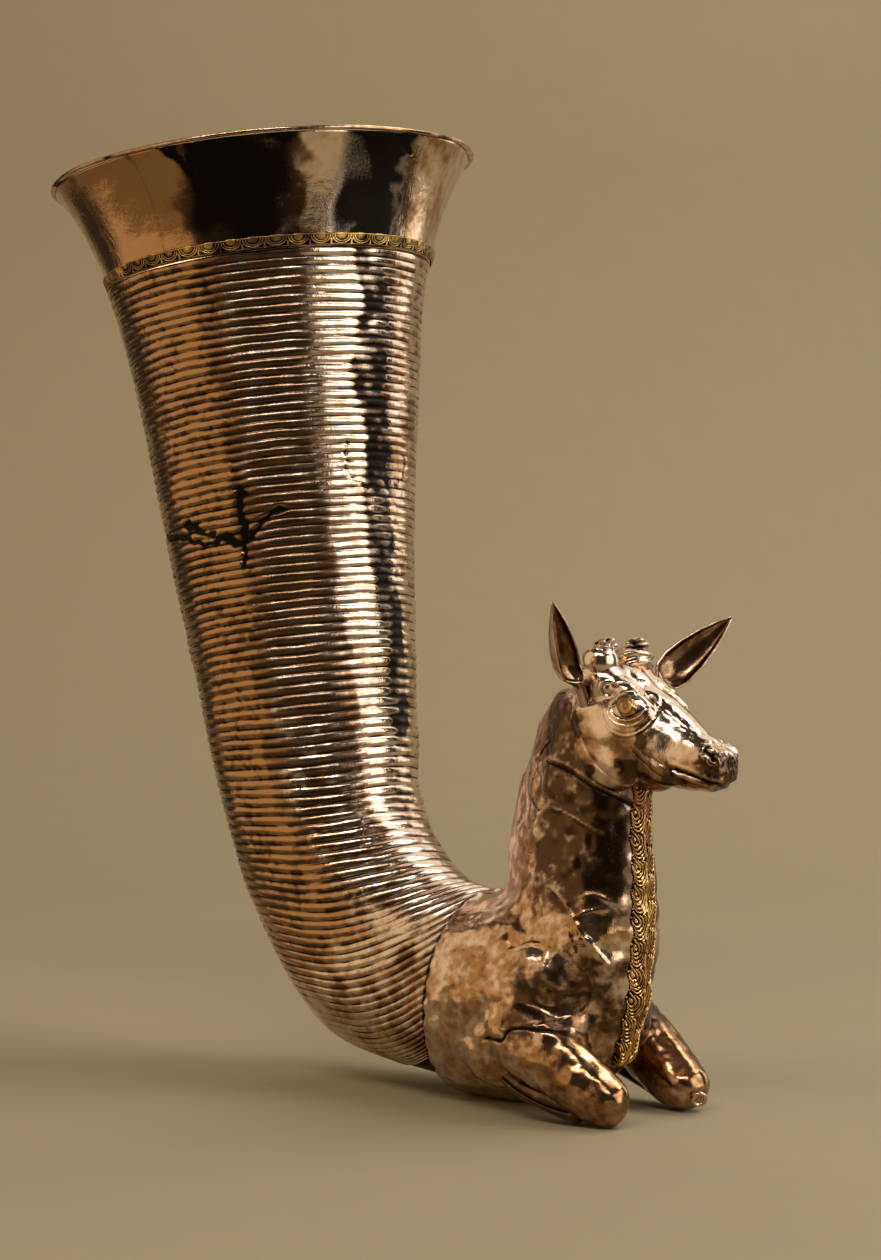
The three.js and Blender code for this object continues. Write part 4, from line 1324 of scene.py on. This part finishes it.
def build_ruff():
    """The gilt ruff: two rows of overlapping fans of fine curved hairs."""
    horn = Horn()
    rows = spline(moved(horn, [[x, 0, z, w, 0] for x, z, w in RUFF]), 130)
    centre, half = rows[:, [0, 2]], rows[:, 3] * RUFF_SPREAD
    ahead = np.gradient(centre, axis=0)
    ahead /= np.linalg.norm(ahead, axis=1)[:, None]
    outward = np.column_stack([-ahead[:, 1], ahead[:, 0]])
    gone = np.concatenate([[0], np.cumsum(np.linalg.norm(np.diff(centre, axis=0), axis=1))])
    share = np.linspace(-1, 1, 90)[None]
    along = gone[:, None] + 0 * share
    bow = 1 - np.sqrt(np.clip(1 - (2 * np.abs(share) - 1) ** 2, 0, 1))
    fan = along / TUFT_LENGTH + 0.5 * (share > 0) + 0.4 * bow
    swell = fan % 1
    across = share * half[:, None] * (1 - 0.16 * np.abs(np.cos(math.pi * swell)))
    spot = np.stack([along, across, 0 * along], axis=-1)
    reach = np.hypot((0.86 - np.abs(share)) * half[:, None], (swell - 0.3) * TUFT_LENGTH)
    hairs = np.sin((reach + 0.15 * noise(spot, 2.5, 85)) / HAIR_PITCH * 2 * math.pi)
    step = smooth(swell, 0, 0.1) * (1 - 0.5 * swell)
    crown = np.sqrt(np.clip(1 - share**2, 0, 1))
    middle = bell(across, 0.4)
    lift = 0.1 + crown * 0.7 + step * 0.4 + hairs * 0.3 - middle * 0.2
    lift *= 0.3 + 0.7 * smooth(along, 0, 4) * smooth(gone[-1] - along, 0, 3)

    def strip(rise, wide):
        """The ruff's line, raised off itself and spread to both sides."""
        x, z = (centre[:, [i]] + outward[:, [i]] * rise + 0 * share for i in (0, 1))
        return np.stack([x, wide, z], axis=-1)

    lift += lying_on(strip(0, across))
    front = strip(lift, across)
    back = strip(-6, across * 0.95)[:, ::-1]
    points, faces = skin(np.concatenate([front, back], axis=1))
    gap = bell(np.minimum(swell, 1 - swell), 0.05)
    grime = 0.28 - hairs * 0.65 + middle * 0.3 + gap * 0.45 + noise(spot, 4, 86) * 0.3
    edge = smooth(np.abs(share), 0.93, 1) * 0.5
    layers = tarnish(
        grime + edge,
        warm=0.7,
        dark=0.25 + 0.3 * noise(spot, 6, 87),
        worn=0.5 + 0.5 * hairs,
        gilt=0.35 + 0.3 * hairs + 0.35 * noise(spot, 7, 88),
    )
    hidden = np.ones_like(grime)
    layers = with_caps({k: np.concatenate([v, hidden], axis=1) for k, v in layers.items()}, 1)
    finish = silver_finish("ruff_silver")
    return add_piece("chest_ruff_hair", points, faces, finish, ["chest_ruff"], layers)


EAR_ROOT = [94, 11, 129.5]
EAR_TIPS = {"left": [111, 43, 160], "right": [104.4, 39.9, 164.7]}
# The ear's half width and depth at shares of its length
EAR_PLACES = [0, 0.27, 0.31, 0.37, 0.47, 0.6, 0.76, 0.9, 1]
EAR_WIDTHS = [2.2, 1.8, 3.0, 4.7, 5.5, 5.1, 3.8, 1.9, 0.25]
EAR_DEPTHS = [2.2, 2.0, 2.8, 3.8, 4.4, 4.0, 2.9, 1.4, 0.3]


def build_ears():
    """Leaf-shaped ears of thin sheet, each on a short stalk and open to the front."""
    horn = Horn()
    for name, side in SIDES:
        root, tip = moved(horn, mirrored([EAR_ROOT, EAR_TIPS[name]], side))
        axis = tip - root
        length = np.linalg.norm(axis)
        axis /= length
        facing = np.array([1, -0.9 if side > 0 else -0.05, 0.0])
        facing -= axis * (facing @ axis)
        facing /= np.linalg.norm(facing)
        across = np.cross(axis, facing)
        part = np.linspace(0, 1, 44)
        leaf = np.interp(part, EAR_PLACES, EAR_WIDTHS) * (1.18 if side > 0 else 1.0)
        depth = np.interp(part, EAR_PLACES, EAR_DEPTHS)
        opened = smooth(part, 0.29, 0.36)
        arc_turns = np.linspace(-1, 1, 25)
        rings = []
        for at, wide, deep, open_share in zip(part, leaf, depth, opened):
            centre = root + axis * length * at - facing * 0.4 * deep * open_share
            reach = math.pi * (1 - 0.42 * open_share)
            turns = arc_turns * reach
            wall = np.minimum(0.55 + 0.25 * (1 - at), wide * 0.6)
            outer = np.stack([np.sin(turns) * wide, -np.cos(turns) * deep], axis=-1)
            thin = np.array([1 - wall / wide, 1 - wall / max(deep, wall * 1.5)])
            inner = (outer * thin)[::-1] if open_share > 0.02 else (outer * 0.55)[::-1]
            flat = np.concatenate([outer, inner])
            rings.append(centre + across * flat[:, :1] + facing * flat[:, 1:])
        rings = np.array(rings)
        points, faces = skin(rings)
        within = np.concatenate([np.zeros(25), np.ones(25)])[None] * opened[:, None]
        spot = rings.reshape(-1, 3)
        mark = noise(spot, 5, 81).reshape(rings.shape[:2])
        grime = within * (0.25 + 0.5 * mark) * smooth(part, 0.4, 0.9)[:, None]
        layers = tarnish(
            grime,
            warm=0.35 + within * 0.4,
            dark=0.2 + within * 0.35,
            worn=1 - within,
            gilt=within * 0.3,
        )
        finish, nodes = silver_finish("head_silver", 0.1), ["ear_" + name]
        piece = add_piece(
            "ear_leaf_" + name, points, faces, finish, nodes, with_caps(layers)
        )
        tidy_normals(piece)


def tidy_normals(piece):
    """Turns every face of a closed piece outwards."""
    mesh = bmesh.new()
    mesh.from_mesh(piece.data)
    bmesh.ops.recalc_face_normals(mesh, faces=mesh.faces)
    mesh.to_mesh(piece.data)
    mesh.free()


STUB = [
    [136, 3.6], [140, 4.2], [142.4, 5.2], [145, 5.9], [147.4, 5.8], [149.2, 4.9], [150.3, 3.9],
    [151.3, 3.2], [152.3, 3.0], [153.1, 2.3], [153.2, 1.4], [152.6, 0.7], [152.2, 0.2],
]
STUB_FOLDS = {"left": 0.45, "right": 0}  # how deep the folds round each stub are


def build_stubs():
    """The broken horns: a swollen ball, smooth or folded, with a torn, hollow top."""
    horn = Horn()
    for name, side in SIDES:
        sides, folds = 72, STUB_FOLDS[name]
        profile = spline(STUB, 7)
        angle = ring_angles(sides)
        base = moved(horn, [[97, side * 7.8, 0]])[0]
        ring = np.stack([np.cos(angle), np.sin(angle)], axis=-1)
        level, radius = profile[:, :1], profile[:, 1:]
        sideways = base[1] + ring[:, 1] * radius
        plain = np.stack([base[0] + ring[:, 0] * radius, sideways, level + 0 * angle], axis=-1)
        torn = smooth(level, 149, 151.2)
        rough = noise(plain + side * 31, 2.4, 91) * 1.1 + noise(plain + side * 17, 1.1, 92) * 0.6
        lumps = noise(plain + side * 7, 5.5, 93) * 0.5
        wave = np.sin((level + noise(plain, 6, 94) * 3) * 1.5) * folds
        radius = radius + rough * torn * np.minimum(radius / 3, 1) + (lumps + wave) * (1 - torn)
        radius = radius * (1.12 if folds else 1)
        level = level + (np.minimum(rough, 0.15) * 0.9 - 0.5 + 0.5 * np.cos(angle)) * torn
        forward = base[0] + 1.6 * torn + ring[:, 0] * radius
        rings = np.stack([forward, base[1] + ring[:, 1] * radius, level + 0 * angle], axis=-1)
        points, faces = skin(rings)
        grime = torn * (0.35 - 0.4 * rough) + bell(profile[:, :1] - 150.7, 0.5) * 0.3
        grime = grime + smooth(profile[:, :1], 151, 153) * (radius < 4) * 0.5 - wave * 0.6
        layers = with_caps(tarnish(grime, warm=0.25, dark=0.2, worn=0.6))
        finish, nodes = silver_finish("head_silver", 0.1), ["horn_stub_" + name]
        piece = add_piece(
            "broken_horn_" + name, points, faces, finish, nodes, layers
        )
        tidy_normals(piece)


def build_eyes():
    """The eyes: gilt almonds that lie on the head, with a sunk ring round the pupil."""
    horn = Horn()
    head = bpy.data.objects["ibex_head"].data.vertices
    skull = np.array([vertex.co for vertex in head]) / MM
    middle = moved(horn, [[EYE_X, 0, EYE_Z]])[0]
    near = np.hypot(skull[:, 0] - middle[0], skull[:, 2] - middle[2]) < 8
    for name, side in SIDES:
        rings, sides = 40, 64
        out = np.linspace(0, 1, rings)[:, None]
        angle = ring_angles(sides)[None]
        x = np.cos(angle) * out * 4.4
        z = np.sin(angle) * out * 3.0 * (1.25 - 0.45 * np.abs(np.cos(angle)))
        x, z = middle[0] + x + 0.3 * z, middle[2] + z - 0.35 * x
        reach = np.hypot(x - middle[0], z - middle[2])
        iris = bell(reach - 2.3, 0.35) * 0.12 - bell(reach - 0.8, 0.35) * 0.15
        cheek = skull[near & (skull[:, 1] * side > 4)]
        gap = np.hypot(x[..., None] - cheek[:, 0], z[..., None] - cheek[:, 2])
        weight = bell(gap, 0.9) + 1e-9
        level = (weight * np.abs(cheek[:, 1])).sum(axis=-1) / weight.sum(axis=-1)
        lift = 0.9 * np.sqrt(np.clip(1 - out**2, 0, 1)) - 0.1 + iris
        front = np.stack([x, side * (level + lift), z], axis=-1)
        back = front[::-1].copy()
        back[..., 1] = side * (level[::-1] - 1.6)
        points, faces = skin(np.concatenate([front, back]))
        grime = bell(reach - 0.8, 0.4) * 0.2 + bell(reach - 2.6, 0.4) * 0.15 + 0.3
        grime = grime + smooth(out, 0.8, 1) * 0.8
        layers = with_caps({"grime": np.concatenate([grime, np.ones_like(grime)])})
        nodes = ["eye_" + name]
        piece = add_piece("gilt_eye_" + name, points, faces, gilt_finish(), nodes, layers)
        tidy_normals(piece)


SPOUT_AIM = [0.78, -0.5, -0.36]
SPOUT_RADIUS = 2.1
SPOUT_WIRE = 0.65


def build_spout():
    """The rolled rim of the pouring hole in the left knee."""
    low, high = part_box("spout_ring")
    centre = np.array((low + high) / 2) / MM
    aim = np.array(SPOUT_AIM) / np.linalg.norm(SPOUT_AIM)
    side = np.cross(aim, [0, 0, 1.0])
    side /= np.linalg.norm(side)
    up = np.cross(side, aim)
    around, tube = ring_angles(48)[:, None], ring_angles(16)[None]
    reach = SPOUT_RADIUS + SPOUT_WIRE * np.cos(tube)
    rings = (
        centre
        + side * (np.cos(around) * reach)[..., None]
        + up * (np.sin(around) * reach)[..., None]
        + aim * (SPOUT_WIRE * np.sin(tube) + 0 * around)[..., None]
    )
    points, faces = skin(rings, joined=True)
    layers = tarnish(np.zeros(len(points)), warm=0.3, worn=0.5)
    finish, nodes = silver_finish("body_silver"), ["spout_ring"]
    tidy_normals(
        add_piece("pouring_hole_rim", points, faces, finish, nodes, layers)
    )


# The stage

AIM_HEIGHT = 0.15  # height of the middle of the vessel, which every lamp faces
VIEWER = (0.6478, -0.6714)  # where the camera stands
# The floor's reach before and behind the middle, the bend up into the backdrop, and its height
FLOOR_AHEAD, FLOOR_BEHIND, FLOOR_BEND, BACKDROP_RISE = 0.5, 1.1, 0.5, 2.6
# How far the floor goes to the left, and to the right from its front to its back
FLOOR_LEFT = 0.75
FLOOR_RIGHT = [0.5, 0.6, 1.6, 3.0]
# Each lamp's name, bearing and height in degrees, distance, width and height, watts and tint
LAMPS = (
    ("key_panel", 62, 12, 1.6, (1.3, 1.3), 14, (1.0, 0.92, 0.85)),
    ("left_panel", -78, 12, 1.25, (2.2, 1.9), 10, (1.0, 0.74, 0.44)),
    ("front_panel", -12, 50, 1.6, (1.3, 0.22), 10, (1.0, 0.93, 0.86)),
    ("top_panel", 92, 54, 1.5, (0.8, 0.8), 9, (1.0, 0.92, 0.84)),
    ("right_panel", 122, 6, 1.5, (0.55, 1.3), 3.5, (1.0, 0.92, 0.78)),
    ("back_panel", 150, 50, 1.15, (1.6, 1.0), 5, (1.0, 0.92, 0.84)),
)


def stage_material(name, base):
    """A plain matt paint with a trace of grain, which hides nothing from behind it."""
    paint = Finish(name)
    grain = paint.cloud(60.0, 3.0, 0.5)
    lighter = tuple(min(1.0, c * 1.05) for c in base)
    mixed = paint.mix(grain, base, lighter)
    return paint.shade(mixed, 0.85, grain, metallic=0.0, depth=0.0001, one_sided=True)


def build_stage():
    """A pale floor that curves up into a backdrop, soft lamps and the camera."""
    look = bpy.context.scene.rhyton_stage
    scene = bpy.context.scene
    azimuth = look.azimuth
    away = np.array([-math.sin(azimuth), math.cos(azimuth), 0])
    right = np.array([math.cos(azimuth), math.sin(azimuth), 0])
    flat = FLOOR_BEHIND - FLOOR_BEND
    curve = [(-FLOOR_AHEAD, 0.0), (0.0, 0.0), (0.25, 0.0), (flat, 0.0)]
    for i in range(1, 17):
        lean = i / 16 * math.pi / 2
        curve.append((flat + FLOOR_BEND * math.sin(lean), FLOOR_BEND * (1 - math.cos(lean))))
    curve.append((FLOOR_BEHIND, BACKDROP_RISE))
    points = []
    for reach, height in curve:
        right_edge = np.interp(reach, [-FLOOR_AHEAD, 0.25, flat, FLOOR_BEHIND], FLOOR_RIGHT)
        for side in (-FLOOR_LEFT, right_edge):
            points.append(away * reach + right * side + np.array([0, 0, height]))
    faces = [[2 * i, 2 * i + 1, 2 * i + 3, 2 * i + 2] for i in range(len(curve) - 1)]
    sweep = bpy.data.objects.new("sweep", mesh_of("sweep", np.array(points) / MM, faces))
    bpy.context.collection.objects.link(sweep)
    sweep.data.materials.append(stage_material("sweep_paint", tuple(look.floor)))

    world = bpy.data.worlds.new("room")
    world.use_nodes = True
    world.node_tree.nodes["Background"].inputs["Color"].default_value = (*look.world, 1)
    world.node_tree.nodes["Background"].inputs["Strength"].default_value = 1.0
    scene.world = world

    def lamp(name, bearing, elevation, distance, sizes, power, tint):
        """A soft panel that faces the vessel; the bearing is counted right of the camera."""
        direction = azimuth + math.radians(bearing)
        climb = math.radians(elevation)
        flat = distance * math.cos(climb)
        place = Vector((math.sin(direction) * flat, -math.cos(direction) * flat, 0))
        place.z = AIM_HEIGHT + distance * math.sin(climb)
        light = bpy.data.lights.new(name, "AREA")
        light.shape = "RECTANGLE"
        light.size, light.size_y = sizes
        light.energy = power
        light.color = tint
        holder = bpy.data.objects.new(name, light)
        holder.location = place
        aim = Vector((0, 0, AIM_HEIGHT)) - place
        holder.rotation_euler = aim.to_track_quat("-Z", "Y").to_euler()
        bpy.context.collection.objects.link(holder)

    for row in LAMPS:
        lamp(*row)

    camera = bpy.data.cameras.new("camera")
    camera.sensor_fit = "AUTO"
    camera.sensor_width = 36
    camera.lens = look.focal_length
    viewer = bpy.data.objects.new("camera", camera)
    viewer.location = (*VIEWER, look.eye_height)
    viewer.rotation_euler = Euler((math.pi / 2 - look.tilt, 0, azimuth))
    bpy.context.collection.objects.link(viewer)
    scene.camera = viewer
    scene.view_settings.view_transform = "Standard"


# Operators, panel and the run


class RHYTON_OT_horn(bpy.types.Operator):
    """Builds the ribbed sheet of the horn"""

    bl_idname = "rhyton.horn"
    bl_label = "Ribbed horn"

    def execute(self, context):
        build_horn()
        return {"FINISHED"}


class RHYTON_OT_mouth(bpy.types.Operator):
    """Builds the plain mouth with its lip"""

    bl_idname = "rhyton.mouth"
    bl_label = "Mouth and lip"

    def execute(self, context):
        build_mouth()
        return {"FINISHED"}


class RHYTON_OT_band(bpy.types.Operator):
    """Builds the gilt band with its eggs"""

    bl_idname = "rhyton.band"
    bl_label = "Gilt band"

    def execute(self, context):
        build_band()
        return {"FINISHED"}


class RHYTON_OT_forepart(bpy.types.Operator):
    """Sculpts the chest, the neck and the forelegs"""

    bl_idname = "rhyton.forepart"
    bl_label = "Forepart"

    def execute(self, context):
        build_forepart()
        return {"FINISHED"}


class RHYTON_OT_shins(bpy.types.Operator):
    """Builds the folded shins and hooves, and the rim of the pouring hole"""

    bl_idname = "rhyton.shins"
    bl_label = "Shins and pouring hole"

    def execute(self, context):
        build_shins()
        build_spout()
        return {"FINISHED"}


class RHYTON_OT_head(bpy.types.Operator):
    """Sculpts the head and sets its eyes, ears and broken horns"""

    bl_idname = "rhyton.head"
    bl_label = "Head, eyes, ears and broken horns"

    def execute(self, context):
        build_head()
        build_eyes()
        build_ears()
        build_stubs()
        return {"FINISHED"}


class RHYTON_OT_ruff(bpy.types.Operator):
    """Builds the gilt ruff of chased hair"""

    bl_idname = "rhyton.ruff"
    bl_label = "Chest ruff"

    def execute(self, context):
        build_ruff()
        return {"FINISHED"}


class RHYTON_OT_stage(bpy.types.Operator):
    """Sets the floor, the lamps and the camera"""

    bl_idname = "rhyton.stage"
    bl_label = "Stage"

    def execute(self, context):
        build_stage()
        return {"FINISHED"}


OPERATORS = (
    RHYTON_OT_horn,
    RHYTON_OT_mouth,
    RHYTON_OT_band,
    RHYTON_OT_forepart,
    RHYTON_OT_shins,
    RHYTON_OT_head,
    RHYTON_OT_ruff,
    RHYTON_OT_stage,
)


class RHYTON_PT_panel(bpy.types.Panel):
    """Sizes, finishes and the pieces of the rhyton"""

    bl_idname = "RHYTON_PT_panel"
    bl_label = "Ibex rhyton"
    bl_space_type = "VIEW_3D"
    bl_region_type = "UI"
    bl_category = "Rhyton"

    def draw(self, context):
        for name, group in GROUPS.items():
            settings = getattr(context.scene, name)
            box = self.layout.box()
            for prop in group.__annotations__:
                box.prop(settings, prop)
        for operator in OPERATORS:
            self.layout.operator(operator.bl_idname)


GROUPS = {
    "rhyton_horn": HornSettings,
    "rhyton_animal": AnimalSettings,
    "rhyton_finish": FinishSettings,
    "rhyton_stage": StageSettings,
}
CLASSES = (*GROUPS.values(), *OPERATORS, RHYTON_PT_panel)


def register():
    """Adds the settings, the operators and the panel to Blender."""
    for cls in CLASSES:
        bpy.utils.register_class(cls)
    for name, group in GROUPS.items():
        setattr(bpy.types.Scene, name, bpy.props.PointerProperty(type=group))


def unregister():
    """Takes them out again."""
    for name in GROUPS:
        delattr(bpy.types.Scene, name)
    for cls in reversed(CLASSES):
        bpy.utils.unregister_class(cls)


def main():
    """Builds every piece in order."""
    register()
    for operator in OPERATORS:
        group, name = operator.bl_idname.split(".")
        getattr(getattr(bpy.ops, group), name)()


if __name__ == "__main__":
    main()
